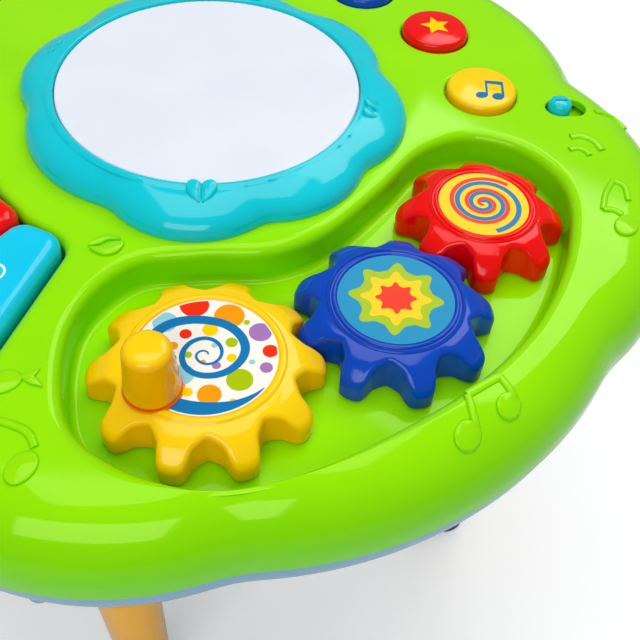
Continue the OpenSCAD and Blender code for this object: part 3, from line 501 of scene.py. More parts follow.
def moulded(name, code, deep, roughness=0.11, glow=0.0, waver=0.05,
            grain=0.5, wall_shade_colour=None):
    """Injection-moulded ABS from a polished mould: an even colour that turns
    a little deeper in broad, faint clouds, a clear gloss that wavers with the
    flow of the plastic, and a fine dust of scuffs in its roughness. The wall
    shade colour is painted shade, mixed in on steep faces and fullest on
    upright walls."""
    made = bpy.data.materials.new(name)
    made.use_nodes = True
    tree = made.node_tree
    shader = tree.nodes["Principled BSDF"]
    place = node(tree, "ShaderNodeTexCoord").outputs["Object"]
    cloud = node(tree, "ShaderNodeTexNoise",
                 [("Vector", place), ("Scale", 1 / (45 * MM)),
                  ("Detail", 1.5)])
    scuff = node(tree, "ShaderNodeTexNoise",
                 [("Vector", place), ("Scale", 1 / (grain * MM)),
                  ("Detail", 3.0)])
    tint = node(tree, "ShaderNodeValToRGB", [("Fac", cloud.outputs["Fac"])])
    tint.color_ramp.elements[0].position = 0.3
    tint.color_ramp.elements[1].position = 0.7
    tint.color_ramp.elements[0].color = linear(deep)
    tint.color_ramp.elements[1].color = linear(code)
    tree.links.new(tint.outputs["Color"], shader.inputs["Base Color"])
    # Painted shade: the wall shade colour is mixed in where a face stands steep, fully on
    # upright walls
    if wall_shade_colour:
        slope = node(tree, "ShaderNodeSeparateXYZ", [
            ("Vector", node(tree, "ShaderNodeTexCoord").outputs["Normal"])])
        wall_shade_mask = node(tree, "ShaderNodeMapRange",
                    [("Value", slope.outputs["Z"]), ("From Min", 0.95),
                     ("From Max", 0.1)])
        painted_shade_mix = node(tree, "ShaderNodeMix",
                        [("Factor", wall_shade_mask.outputs["Result"])],
                        data_type="RGBA")
        painted_shade_mix.inputs["B"].default_value = linear(wall_shade_colour)
        tree.links.new(tint.outputs["Color"], painted_shade_mix.inputs["A"])
        tree.links.new(painted_shade_mix.outputs["Result"],
                       shader.inputs["Base Color"])
    rough = node(tree, "ShaderNodeMapRange",
                 [("Value", scuff.outputs["Fac"]),
                  ("To Min", roughness * 0.75), ("To Max", roughness * 1.25)])
    tree.links.new(rough.outputs["Result"], shader.inputs["Roughness"])
    flow = node(tree, "ShaderNodeTexNoise",
                [("Vector", place), ("Scale", 1 / (16 * MM)),
                 ("Detail", 0.0)])
    wave = node(tree, "ShaderNodeBump",
                [("Height", flow.outputs["Fac"]), ("Strength", waver),
                 ("Distance", 0.8 * MM)])
    tree.links.new(wave.outputs["Normal"], shader.inputs["Normal"])
    shader.inputs["IOR"].default_value = 1.52
    shader.inputs["Specular IOR Level"].default_value = 0.3
    if glow:
        # The light that the pigment scatters through a thin coloured wall
        shader.inputs["Subsurface Weight"].default_value = glow
        shader.inputs["Subsurface Radius"].default_value = (1.0, 1.0, 0.6)
        shader.inputs["Subsurface Scale"].default_value = 3 * MM
    return made


def printed(name, code, roughness=0.13):
    """Ink on a film label under a clear laminate: flat colour, dry paper
    grain of about a quarter millimetre, a soft sheen over all."""
    made = moulded(name, code, code, roughness, waver=0.02,
                   grain=0.25)
    tree = made.node_tree
    shader = tree.nodes["Principled BSDF"]
    place = node(tree, "ShaderNodeTexCoord").outputs["Object"]
    dots = node(tree, "ShaderNodeTexNoise",
                [("Vector", place), ("Scale", 1 / (0.5 * MM)),
                 ("Detail", 2.0)])
    speckle = node(tree, "ShaderNodeMix", [("Factor", 0.07)],
                   data_type="RGBA", blend_type="OVERLAY")
    speckle.inputs["A"].default_value = linear(code)
    tree.links.new(dots.outputs["Fac"], speckle.inputs["B"])
    tree.links.new(speckle.outputs["Result"], shader.inputs["Base Color"])
    shader.inputs["Specular IOR Level"].default_value = 0.1
    return made


# Painted shade: its steep faces, rim roll and pocket walls turn a deeper green
LIME = moulded("lime_abs", "#98E800", "#92E400",
               roughness=0.07, glow=0.12, wall_shade_colour="#76DE00")
LIME.node_tree.nodes["Principled BSDF"].inputs[
    "Specular Tint"].default_value = (1.0, 1.0, 0.45, 1.0)
SKY = moulded("sky_abs", "#7DB6D2", "#76AECB")
CYAN = moulded("cyan_abs", "#08CEDC", "#00C6D6")
KEY_CYAN = moulded("key_cyan_abs", "#0AD0F2", "#04C8EC")
# Painted shade: its steep sides, such as the gear teeth's, turn a deeper orange
YELLOW = moulded("yellow_abs", "#FFD600", "#FFCE00",
                 glow=0.1, wall_shade_colour="#FFB200")
ORANGE = moulded("orange_abs", "#FFBA00", "#FCB200")
BLUE = moulded("blue_abs", "#0046BE", "#0040B2")
RED = moulded("red_abs", "#F40400", "#EC0200")
# Painted shade: the knob's washer is a deeper orange, so its edge draws the shaded line at the
# knob's foot
KNOB_FOOT_SHADE = moulded("tangerine_abs", "#F4660A", "#EE5C06")
# Translucent polypropylene: milky, dull, it lets light sink in
MILK = moulded("milk_polypropylene", "#E6EBF4", "#E0E6F0",
               roughness=0.42, glow=0.4)
INNER = moulded("inner_abs", "#DCDDDA", "#D6D7D3",
                roughness=0.4)
RUBBER = moulded("moulded_rubber", "#4E535A", "#474C53",
                 roughness=0.65, waver=0.15)
# Zinc-plated steel: grey, bright, faintly clouded by its plating
STEEL = moulded("zinc_plated_steel", "#C2C5C8", "#B0B4B8",
                roughness=0.3)
STEEL.node_tree.nodes["Principled BSDF"].inputs["Metallic"].default_value = 1
STEEL.node_tree.nodes["Principled BSDF"].inputs["IOR"].default_value = 1.5
# Solder mask over glass-fibre board: a deep glossy green
BOARD = moulded("solder_mask_board", "#1F7D49", "#1A7040",
                roughness=0.3)
# Shrink-wrapped cells: a thin glossy film
CELL = moulded("cell_shrink_wrap", "#2F6FB0", "#2A66A4",
               roughness=0.25)
PAPER = printed("white_label_film", "#F6F3EA")
INK_BLUE = printed("blue_ink", "#1478B4")
INK_CYAN = printed("cyan_ink", "#0590BE")
INK_LIME = printed("lime_ink", "#A9C408")
INK_YELLOW = printed("yellow_ink", "#FCD200")
INK_RED = printed("red_ink", "#F03010")
INK_ORANGE = printed("orange_ink", "#FA9B0C")
INK_VIOLET = printed("violet_ink", "#A477B6")
INK_AQUA = printed("aqua_ink", "#93D0DE")
INK_CORAL = printed("coral_ink", "#EA3A24")
INK_WHITE = printed("white_ink", "#F4F6F6")

for finish, cad_names in (
        (LIME, ["deck_shell"]),
        (SKY, ["base_shell", "battery_door"]),
        (CYAN, ["drum_frame", "slide_switch"]),
        (KEY_CYAN, ["key_5"]),
        (YELLOW, ["key_2", "gear_yellow", "turning_knob", "button_1"]),
        (ORANGE, ["key_1", "leg_front_left", "leg_front_right",
                  "leg_back_left", "leg_back_right"]),
        (BLUE, ["key_3", "gear_blue", "button_3"]),
        (RED, ["key_4", "gear_red", "button_2", "roller"]),
        (MILK, ["drum_head"]),
        (INNER, ["drum_tray", "key_bracket"]),
        (RUBBER, ["drum_pad", "key_pad", "button_pad", "leg_feet"]),
        (BOARD, ["light_board", "key_board", "button_board", "main_board"]),
        (CELL, ["battery_cells"]),
        (STEEL, ["key_pins", "gear_screw_yellow", "gear_screw_blue",
                 "gear_screw_red", "knob_screw", "switch_body",
                 "roller_axle", "speaker", "door_screw", "battery_contacts",
                 "casing_screws", "inner_screws"]),
        (PAPER, ["label_dots"]),
        (INK_CYAN, ["label_star"]),
        (INK_YELLOW, ["label_swirl"])):
    for cad_name in cad_names:
        cad_piece = frame["nodes"][cad_name]
        cad_piece.data.materials.clear()
        cad_piece.data.materials.append(finish)


# ---------------------------------------------------------------- deck
def well(outline, radius):
    """The space of an opening whose upper edge rolls over by radius."""
    loops = [lifted(outline, CUTTER_LOW), lifted(outline, DECK_TOP - radius)]
    loops += [lifted(grown(outline, radius * out), DECK_TOP - radius * down)
              for out, down in quarter(6)[1:]]
    loops.append(lifted(grown(outline, radius + 0.02), CUTTER_TOP))
    return lofted("cutter", loops)


def stadium(centre, angle, length, width, steps=10):
    """A long round-ended outline along a direction."""
    along, half = polar(1, angle), (length - width) / 2
    out = []
    for side, first in ((1, -90), (-1, 90)):
        for k in range(steps + 1):
            out.append(centre + along * half * side
                       + polar(width / 2, angle + first + 180 * k / steps))
    return out


def box_outline(centre, size, rounding):
    """A rectangle with rounded corners."""
    x, y = size[0] / 2 - rounding, size[1] / 2 - rounding
    return [Vector(centre) + Vector((sx * x, sy * y))
            + polar(rounding, first + 90 * k / 5)
            for sx, sy, first in ((1, 1, 0), (-1, 1, 90), (-1, -1, 180),
                                  (1, -1, 270)) for k in range(6)]


def pocket_space():
    """The gear pocket: a rolled edge, a wall with a little draft and a
    hollow fillet at the floor."""
    draft, fillet, roll = 0.8, 3, 5
    loops = [lifted(grown(POCKET, -draft - fillet * inwards),
                    POCKET_FLOOR + fillet * up)
             for up, inwards in quarter(6)]
    loops += [lifted(grown(POCKET, roll * out), DECK_TOP - roll * down)
              for out, down in quarter(7)]
    loops.append(lifted(grown(POCKET, roll + 0.02), CUTTER_TOP))
    return lofted("cutter", loops)


def deck():
    """The lime upper casing: a rolled rim, wells and the gears' bores."""
    # The hollow's ceiling, its rounded corner and its wall, then the edge
    loops = [lifted(lobed(RIM_ROUND), DECK_TOP - WALL),
             lifted(lobed(14), DECK_TOP - 6),
             lifted(lobed(WALL), DECK_TOP - RIM_ROUND),
             lifted(lobed(WALL), PART_Z),
             lifted(lobed(0.6), PART_Z), lifted(lobed(0), PART_Z + 0.6)]
    loops += [lifted(lobed(RIM_ROUND * inwards), DECK_TOP - RIM_ROUND * down)
              for inwards, down in quarter(16)]
    shell = lofted("deck", loops)
    under = DECK_TOP - WALL + 0.5
    tubs = [prism("tub", grown(POCKET, POCKET_TUB),
                  POCKET_FLOOR - POCKET_TUB, under),
            prism("tub", grown(fan_outline(OPEN_GAP), 2.4),
                  DECK_TOP - 10, under)]
    tubs += [prism("tub", circle(at, BUTTON_HOLE_R + 2, 64), DECK_TOP - 5,
                   under) for at in BUTTONS]
    cut_or_fused(shell, tubs, "UNION")
    slot_middle = SWITCH + polar(SWITCH_TRAVEL / 2, SWITCH_ANGLE)
    cutters = [pocket_space()] + [well(outline, edge) for outline, edge in (
        (fan_outline(OPEN_GAP), 4.5),
        (circle(DRUM, DRUM_HOLE_R, 128), 0.4),
        (box_outline(ROLLER.xy, ROLLER_HOLE, 2.5), 1.6),
        (stadium(slot_middle, SWITCH_ANGLE, *SWITCH_HOLE), 1.2),
        *((circle(at, BUTTON_HOLE_R, 64), 1.6) for at in BUTTONS))]
    cut_or_fused(shell, cutters, "DIFFERENCE")
    bores = [prism("cutter", circle(pivot(joint), STEM_BORE_R, 48),
                   POCKET_FLOOR - 14, POCKET_FLOOR + 6)
             for joint in ("yellow_spin", "blue_spin", "red_spin")]
    cut_or_fused(shell, bores, "DIFFERENCE")
    evened(shell)
    placed(shell, LIME, "table", ["deck_shell"])


def stroke(name, points, width, height=1.1, base=None):
    """A raised line with a rounded back on the deck."""
    base = base or deck_height
    path = curve_path([Vector(p) for p in points], 6)
    return ribbon(name, path, [width] * len(path),
                  lambda x, y: base(x, y) - 0.6,
                  lambda x, y: base(x, y) + height * 0.1, dome=height * 0.9)


def blob(centre, across, along, angle, steps=36):
    """An oval outline, turned by an angle, as of a note's head."""
    turn = math.radians(angle)
    return [Vector(centre) + Vector((
        math.cos(turn) * across * math.cos(t)
        - math.sin(turn) * along * math.sin(t),
        math.sin(turn) * across * math.cos(t)
        + math.cos(turn) * along * math.sin(t)))
        for t in (2 * math.pi * k / steps for k in range(steps))]


def deck_reliefs():
    """Raised notes, arcs, a wave, a sweet and leaves moulded into the
    deck."""
    shapes = {
        "front_note": [
            relief("r", blob((0.6, -199.3), 5.6, 4.6, 20), 1.2),
            relief("r", blob((20.4, -197.0), 5.2, 4.4, 20), 1.2),
            stroke("r", [(4.9, -198.5), (7, -193), (9.4, -187.2)], 3.0),
            stroke("r", [(9.2, -186.9), (16.5, -186.5), (24.6, -186.2)], 3.6),
            stroke("r", [(24.2, -186.6), (24.4, -191), (24.2, -196.4)], 3.0)],
        "right_note": [
            stroke("r", [(134.8, -128.6), (126, -133.2), (118.0, -140)], 2.8),
            stroke("r", [(118.0, -140.2), (121.4, -142.4), (123, -146.4)],
                   2.8),
            relief("r", blob((119.6, -152.2), 6.4, 4.8, 25), 1.3),
            stroke("r", [(134.6, -128.8), (136.2, -134.0), (131.4, -141.4)],
                   2.8)],
        "far_arcs": [
            stroke("r", [(138.4, -96.8), (143.2, -98.8), (146.0, -104.2),
                         (144.8, -111)], 3.8),
            stroke("r", [(131.8, -103.6), (135.6, -104.4), (137.6, -107.6),
                         (137.2, -111.0)], 3.0)],
        "rim_wave": [
            stroke("r", [(162, -88), (167, -90.5), (170.5, -95),
                         (170.5, -101)], 2.8)],
        "left_arch": [
            stroke("r", [(-146, -112), (-138, -114), (-131.5, -119.4),
                         (-126.4, -126.6), (-126.2, -133.4)], 3.0),
            relief("r", blob((-132.6, -138.6), 6.4, 4.8, 30), 1.1)],
        "left_sweet": [
            relief("r", blob((-126.6, -103.6), 6.6, 4.6, -8), 1.0),
            relief("r", [Vector(p) for p in (
                (-121.4, -104.2), (-118.6, -109.4), (-115.4, -112.2),
                (-116.4, -106.6), (-113.6, -104.6), (-118, -103.4))], 0.9,
                rim=0.4)],
    }
    for name, pieces in shapes.items():
        placed(joined(name, pieces), LIME)
    leaf_half = [[Vector(p) for p in half] for half in (
        ((-76.8, -57.2), (-72.6, -58.6), (-68.4, -58.2), (-64.4, -60.4),
         (-65.4, -57.2), (-68.8, -55.2), (-72.8, -55.0)),
        ((-76.6, -58.4), (-75.6, -62.0), (-72.8, -65.2), (-68.8, -66.0),
         (-65.0, -64.0), (-64.2, -61.6), (-68.4, -59.6), (-72.4, -60.0)))]
    placed(joined("leaf", [
        relief("r", curve_loop(half, 5), 1.4, rim=0.4)
        for half in leaf_half]), LIME)
    mirrored = [[Vector((-p.x * 0.5 - 100, -p.y + 66)) for p in half[::-1]]
                for half in leaf_half]
    placed(joined("far_leaf", [
        relief("r", curve_loop(half, 5), 1.3, rim=0.35)
        for half in mirrored]), LIME)


# ---------------------------------------------------------------- drum
def petal_ring(inset, passes, steps=360):
    """The drum frame's scalloped outline, drawn in by inset."""
    reach = []
    for k in range(steps):
        u = polar(1, 360 * k / steps)
        best = FRAME_BASE_R - inset
        for angle, far, radius in PETALS:
            centre = polar(far - radius, angle)
            along, off = centre.dot(u), abs(centre.cross(u))
            if off < radius - inset:
                best = max(best, along + math.sqrt(
                    (radius - inset) ** 2 - off ** 2))
        reach.append(best)
    for _ in range(passes):
        reach = [(reach[i - 1] + 2 * r + reach[(i + 1) % steps]) / 4
                 for i, r in enumerate(reach)]
    return [DRUM + polar(r, 360 * k / steps) for k, r in enumerate(reach)]


def frame_height(x, y):
    """Height of the drum frame's puffed back, for what is raised on it."""
    away = (Vector((x, y)) - DRUM).length
    share = min(max((away - HEAD_R) / 17, 0), 1)
    return FRAME_TOP - 11.5 * share ** 2.2 - 0.2


def drum_frame():
    """The puffed petal ring round the drum's head, with four small hearts."""
    low = DECK_TOP - 0.4
    inner = circle(DRUM, HEAD_R, 360)
    loops = [lifted(inner, FRAME_TOP - 4), lifted(inner, FRAME_TOP - 4.2),
             lifted(circle(DRUM, 72, 360), FRAME_TOP - 4.4),
             lifted(circle(DRUM, 73, 360), low),
             lifted(petal_ring(0.4, 6), low),
             lifted(petal_ring(0, 6), low + 1.0)]
    back = 12.0
    for k in range(1, 13):
        turn = math.pi / 2 * k / 12
        inset = back * (1 - math.cos(turn)) * 1.12
        outer = petal_ring(inset, 6 + k * 4)
        pull = (k / 12) ** 3
        ring = circle(DRUM, HEAD_R + 3.4, 360)
        loops.append([Vector((*(o.lerp(r, pull)),
                              low + 1 + (FRAME_TOP - low - 1.9)
                              * math.sin(turn) ** 0.92))
                      for o, r in zip(outer, ring)])
    loops += [lifted(circle(DRUM, HEAD_R + out, 360), FRAME_TOP - down)
              for out, down in ((2.2, 0.35), (1.3, 0.1), (0.7, 0.08),
                                (0.25, 0.3), (0.0, 0.9))]
    ring = lofted("drum_ring", loops, 60, start=False, end=False)
    # The open bottom and the open inside meet in one bridge
    only(ring)
    bpy.ops.object.mode_set(mode="EDIT")
    bpy.ops.mesh.select_all(action="DESELECT")
    bpy.ops.mesh.select_non_manifold()
    bpy.ops.mesh.bridge_edge_loops()
    bpy.ops.mesh.select_all(action="SELECT")
    bpy.ops.mesh.normals_make_consistent(inside=False)
    bpy.ops.object.mode_set(mode="OBJECT")
    settled(ring, 60)
    placed(ring, CYAN, "table", ["drum_frame"])
    for name, at, angle in (("heart_left", (-29.5, -62.0), -120),
                            ("heart_right", (61.5, -50.5), -40),
                            ("heart_far", (58.0, 56.0), 40),
                            ("heart_back", (-46.0, 62.0), 130)):
        halves = []
        for side in (1, -1):
            half = [(0, -6.2), (2.4, -4.6), (5.2, -1.4), (6.2, 1.6),
                    (5.4, 4.4), (3.2, 5.4), (1.0, 4.2), (0.25, 2.4)]
            points = [Vector(at) + Matrix.Rotation(
                math.radians(angle + 90), 2) @ Vector((side * x, y))
                for x, y in half]
            halves.append(relief("h", curve_loop(
                points if side == 1 else points[::-1], 4), 1.5,
                base=frame_height, rim=0.9))
        placed(joined(name, halves), CYAN)


# ---------------------------------------------------------------- gears
def gear_outline(teeth, centre, phase):
    """A toothed outline with involute flanks and rounded tips and gaps."""
    pitch_r = GEAR_MODULE * teeth / 2
    base = pitch_r * math.cos(GEAR_PRESSURE)

    def flank(r):
        at = math.acos(min(1, base / r))
        return (math.radians((180 / teeth) * (
            0.5 - TOOTH_PLAY / (2 * math.pi * GEAR_MODULE)))
                + math.tan(GEAR_PRESSURE) - GEAR_PRESSURE
                - (math.tan(at) - at)) * 180 / math.pi
    root, tip, pitch = (pitch_r - TOOTH_ROOT, pitch_r + TOOTH_TIP,
                        180 / teeth)
    tip_turn, root_turn = flank(tip - 3.2), flank(pitch_r - 2)
    side = [(root, pitch), (root + 0.3, pitch * 0.8 + root_turn * 0.2),
            (root + 1.2, pitch * 0.5 + root_turn * 0.5),
            (pitch_r - 3.2, root_turn + (pitch - root_turn) * 0.22),
            (pitch_r - 2, root_turn), (pitch_r, flank(pitch_r)),
            (tip - 3.2, tip_turn), (tip - 1.2, tip_turn * 0.82),
            (tip - 0.3, tip_turn * 0.52), (tip, tip_turn * 0.18)]
    points = []
    for k in range(teeth):
        at = phase + 2 * pitch * k
        points += [centre + polar(r, at - a) for r, a in side]
        points += [centre + polar(r, at + a) for r, a in side[:0:-1]]
    return smoothed(curve_loop(points, 2), 1)


def gear_back(radius, ring_r, tip_r):
    """Height of a gear's sloping back at a distance from its axis."""
    share = min(max((radius - ring_r) / (tip_r - ring_r), 0), 1.05)
    return GEAR_TOP - 1.0 - 1.8 * share - 6.8 * share ** 2


def gear(name, joint, teeth, phase, label_r, lips, body, finish):
    """A wheel on its stem: the toothed edge, rounded over, then the sloping
    back, and lips round the recess that holds the label."""
    centre = pivot(joint).xy
    outline = gear_outline(teeth, centre, phase)
    tip_r = GEAR_MODULE * teeth / 2 + TOOTH_TIP
    ring_r = label_r + lips[0][0]
    stem_low = box(name)[0].z
    turns = [math.atan2(*(p - centre).yx) for p in outline]

    def round_loop(radius, z):
        return [Vector((centre.x + radius * math.cos(t),
                        centre.y + radius * math.sin(t), z)) for t in turns]

    def on_back(points, drop=0.0):
        return lifted(points, lambda x, y: gear_back(
            (Vector((x, y)) - centre).length, ring_r, tip_r) - drop)
    loops = [round_loop(6, stem_low), round_loop(6, GEAR_LOW),
             lifted(grown(outline, -0.6), GEAR_LOW),
             lifted(outline, GEAR_LOW + 0.6)]
    edge = 1.9
    loops += [on_back(grown(outline, -edge * inwards), edge * down)
              for inwards, down in quarter(5)]
    inner = grown(outline, -edge - 0.6)
    for k in range(7):
        share = (k / 6) ** 0.8
        ring = round_loop(ring_r, 0)
        loops.append(on_back([p.lerp(r.xy, share)
                              for p, r in zip(inner, ring)]))
    loops += [round_loop(label_r + out, GEAR_TOP - down)
              for out, down in lips]
    loops.append(round_loop(label_r + 0.05, GEAR_TOP - 0.8))
    placed(lofted(name + "_wheel", loops, 40), finish, body, [name])


def gears():
    """Three wheels in mesh."""
    # Each label's lips: distance from the label's edge, depth below the top
    plain = [(3.2, 0.95), (2.7, 0.4), (2.2, 0.08), (1.5, 0.0), (0.8, 0.12),
             (0.3, 0.45)]
    double = [(4.2, 0.95), (3.8, 0.4), (3.3, 0.15), (2.8, 0.4), (2.5, 0.95),
              (2.1, 0.95), (1.8, 0.3), (1.2, 0.0), (0.6, 0.1), (0.2, 0.45)]
    # A tooth of the blue gear points at the yellow one, half a tooth's pitch
    # off the yellow gear's own; the red gear lies in direction to_red
    blue_phase, to_red = 171.6, 22.1
    offset = blue_phase - to_red - 160
    gear("gear_yellow", "yellow_spin", 10, blue_phase - 180 + 18, 25.8,
         plain, "yellow_gear", YELLOW)
    gear("gear_blue", "blue_spin", 9, blue_phase, 22.3, double, "blue_gear",
         BLUE)
    gear("gear_red", "red_spin", 8, to_red + 180 - offset * 9 / 8 + 22.5,
         18.9, double, "red_gear", RED)


def knob():
    """A tapered grip with a domed top, on a washer at its foot."""
    low, high = box("turning_knob")
    at = middle("turning_knob").xy
    foot, top = low.z, high.z
    profile = [(9.0, foot), (9.6, foot + 0.1), (10.0, foot + 0.7),
               (9.92, foot + 2), (9.0, top - 9)]
    profile += [(r, z) for r, z in arc_profile(8.5, top - 0.25, 3.6)]
    profile += [(3.2, top - 0.08), (1.2, top)]
    placed(turned_form("knob_grip", at, profile, 72, 50), YELLOW, "knob",
           ["turning_knob"])
    # The washer's deeper orange is painted shade along the knob's foot
    placed(turned_form("knob_washer", at, [
        (10.0, GEAR_TOP - 0.5), (10.3, GEAR_TOP - 0.4),
        (10.45, GEAR_TOP - 0.1), (10.35, GEAR_TOP + 0.15),
        (9.4, GEAR_TOP + 0.3)], 72), KNOB_FOOT_SHADE, "yellow_gear")


# ---------------------------------------------------------------- labels
FILM_TOP = box("label_star")[1].z
PRINT_LOW = FILM_TOP - 0.1
PRINT_TOP = FILM_TOP + 0.02
DOTS_TURN = 35
DOTS_R = 25.2


def clipped(outline, centre, radius):
    """An outline whose points are kept within a circle."""
    out = []
    for p in outline:
        away = p - centre
        out.append(centre + away.normalized() * min(away.length, radius))
    return out


def spiral(centre, first_r, last_r, start, turns, w0, w1, steps=150):
    """Path and widths of a spiral that winds in, counter-clockwise."""
    path, widths = [], []
    for k in range(steps + 1):
        t = k / steps
        path.append(centre + polar(
            first_r + (last_r - first_r) * t ** 0.8, start + 360 * turns * t))
        widths.append(w0 + (w1 - w0) * t)
    return path, widths


def labels():
    """The prints on the gears' films, each ink a hair above the film."""
    at = pivot("yellow_spin").xy
    # Place of each dot from the gear's axis, its radius and its ink
    dots = [(23.6, 108, 5.4, INK_RED), (19.6, 72, 5.6, INK_ORANGE),
            (21.8, 34, 4.2, INK_VIOLET), (22.8, 10, 2.8, INK_RED),
            (22.0, -9, 2.3, INK_VIOLET), (16.6, -5, 1.1, INK_AQUA),
            (16.2, -36, 4.7, INK_LIME), (17.0, -78, 4.2, INK_ORANGE),
            (16.8, -104, 1.9, INK_YELLOW), (11.4, -127, 4.3, INK_AQUA),
            (12.6, -168, 2.4, INK_VIOLET), (12.4, 166, 1.8, INK_ORANGE),
            (12.2, 134, 2.2, INK_RED), (21.4, 141, 4.6, INK_AQUA),
            (11.6, 90, 2.9, INK_YELLOW), (10.6, 38, 2.2, INK_LIME),
            (9.2, -2, 1.8, INK_YELLOW), (6.0, -44, 1.6, INK_VIOLET),
            (6.2, -176, 1.4, INK_LIME), (5.2, 62, 1.1, INK_AQUA),
            (3.0, -100, 0.9, INK_ORANGE), (20.6, 52, 1.2, INK_LIME),
            (22.4, -58, 1.5, INK_YELLOW), (23.2, 160, 1.6, INK_ORANGE),
            (20.4, -150, 2.6, INK_LIME), (21.6, 176, 2.2, INK_RED)]
    by_ink = {}
    for away, angle, radius, ink in dots:
        spot = at + polar(away, angle - DOTS_TURN)
        shape = clipped(circle(spot, radius, 40), at, DOTS_R)
        by_ink.setdefault(ink, []).append(
            prism("dot", shape, PRINT_LOW, PRINT_TOP))
    for ink, pieces in by_ink.items():
        placed(joined("dots_" + ink.name.split("_")[0], pieces), ink,
               "yellow_gear")
    # The spiral's turns: angle, radius and width, from the edge inwards
    turns = [(-29, 25.0, 0.3), (-55, 23.6, 3.0), (-83, 22.6, 5.2),
             (-122, 22.6, 5.0), (-165, 22.2, 4.4), (-210, 20.4, 4.0),
             (-240, 17.6, 3.9), (-266, 15.8, 3.8), (-302, 15.2, 3.6),
             (-342, 14.2, 3.3), (-385, 11.2, 2.9), (-431, 9.2, 2.6),
             (-490, 8.6, 2.3), (-540, 8.2, 2.1), (-590, 7.8, 1.8),
             (-634, 7.4, 1.6), (-700, 5.8, 1.3), (-770, 4.4, 1.1),
             (-830, 3.6, 1.0), (-900, 3.2, 0.9), (-990, 1.6, 0.7),
             (-1060, 0.8, 0.6)]
    wound = curve_path([Vector((r, w, a)) for a, r, w in turns], 9)
    placed(ribbon("dots_spiral",
                  [at + polar(p.x, p.z - DOTS_TURN) for p in wound],
                  [p.y for p in wound], PRINT_LOW, FILM_TOP + 0.06),
           INK_BLUE, "yellow_gear")

    at = pivot("blue_spin").xy
    # Eight-pointed stars on each other: mean radius, swing of the points
    for level, (name, base, swing, ink) in enumerate((
            ("star_outer", 15.6, 2.0, INK_LIME),
            ("star_middle", 11.4, 1.7, INK_YELLOW),
            ("star_inner", 6.7, 1.0, INK_RED))):
        shape = [at + polar(base + swing * math.cos(math.radians(8 * a))
                            + swing * 0.25 * math.cos(math.radians(16 * a)),
                            a + 8 + level * 2) for a in range(0, 360, 2)]
        placed(prism(name, shape, PRINT_LOW, PRINT_TOP + 0.03 * level), ink,
               "blue_gear")

    at = pivot("red_spin").xy
    # Two strokes side by side: first direction, width, height over the film
    for name, start, width, layer, ink in (
            ("swirl_coral", 14, 2.0, 0.03, INK_CORAL),
            ("swirl_blue", -110, 2.3, 0.05, INK_BLUE)):
        path, widths = spiral(at, 16.6, 0.7, start, 2.6, width, width * 0.7)
        placed(ribbon(name, path, widths, PRINT_LOW, FILM_TOP + layer), ink,
               "red_gear")


# ---------------------------------------------------------------- keys
def flat_ring(name, centre, outer, inner, low, top):
    """A thin printed ring."""
    path = circle(centre, (outer + inner) / 2, 64)
    half = (outer - inner) / 2
    loops = []
    for p in path + path[:1]:
        away = (p - Vector(centre)).normalized() * half
        loops.append([Vector((*(p + away), low)), Vector((*(p + away), top)),
                      Vector((*(p - away), top)), Vector((*(p - away), low))])
    made = lofted(name, loops, start=False, end=False)
    only(made)
    bpy.ops.object.mode_set(mode="EDIT")
    bpy.ops.mesh.select_all(action="SELECT")
    bpy.ops.mesh.remove_doubles(threshold=0.00001)
    bpy.ops.mesh.normals_make_consistent(inside=False)
    bpy.ops.object.mode_set(mode="OBJECT")
    settled(made)
    return made


def numeral(name, body, centre, angle, size, z):
    """A plain printed numeral, its head turned to an angle."""
    nothing_selected()
    bpy.ops.object.text_add()
    sign = bpy.context.object
    sign.data.body = body
    sign.data.size = size * MM
    sign.data.align_x = "CENTER"
    sign.data.align_y = "CENTER"
    sign.data.extrude = 0.05 * MM
    bpy.ops.object.convert(target="MESH")
    sign = bpy.context.object
    sign.name = sign.data.name = name
    set_down(sign, centre, angle, z)
    return sign


def keys():
    """Pillowed caps in a fan, each with a printed ring and a numeral."""
    rounding, ring_at, numeral_at = 5.0, 106, 124
    for i, tint in enumerate((ORANGE, YELLOW, BLUE, RED, KEY_CYAN)):
        name = f"key_{i + 1}"
        low, high = box(name)
        top = high.z
        loops = [lifted(key_outline(i, 0.3), low.z + 4),
                 lifted(key_outline(i, 0), low.z + 4.3)]
        loops += [lifted(key_outline(i, rounding * inwards),
                         top - 0.25 - rounding * down)
                  for inwards, down in quarter(8)]
        loops.append(lifted(key_outline(i, 7.5), top - 0.08))
        loops.append(lifted(key_outline(i, 9.5), top))
        placed(lofted(name + "_cap", loops, 50), tint, name, [name])
        ink = INK_BLUE if tint in (ORANGE, YELLOW) else INK_WHITE
        turn = key_turn(i)
        placed(flat_ring(name + "_ring", FAN + polar(ring_at, turn), 4.5,
                         3.6, top - 0.2, top + 0.02), ink, name)
        placed(numeral(name + "_numeral", str(i + 1),
                       FAN + polar(numeral_at, turn), turn + 90, 15,
                       top - 0.02), ink, name)


# ---------------------------------------------------------------- buttons
def note_print(name, head_a, head_b, up, z, ink, body, scale=1.0):
    """A plain pair of quavers: two heads, two stems and a beam."""
    up = Vector(up)
    side = Vector((up.y, -up.x))
    a, b = Vector(head_a), Vector(head_b)
    parts = []
    for spot in (a, b):
        angle = math.degrees(math.atan2(side.y, side.x)) + 15
        parts.append(prism("p", blob(spot, 2.7 * scale, 2.0 * scale, angle),
                           z - 0.5, z + 0.03))
        foot = spot + side * 2.3 * scale
        parts.append(ribbon("p", [foot, foot + up * 10 * scale],
                            [1.0 * scale] * 2, z - 0.3, z + 0.04))
    parts.append(ribbon("p", [a + side * 1.8 * scale + up * 9.6 * scale,
                              b + side * 2.8 * scale + up * 9.6 * scale],
                        [2.2 * scale] * 2, z - 0.3, z + 0.05))
    placed(joined(name, parts), ink, body)


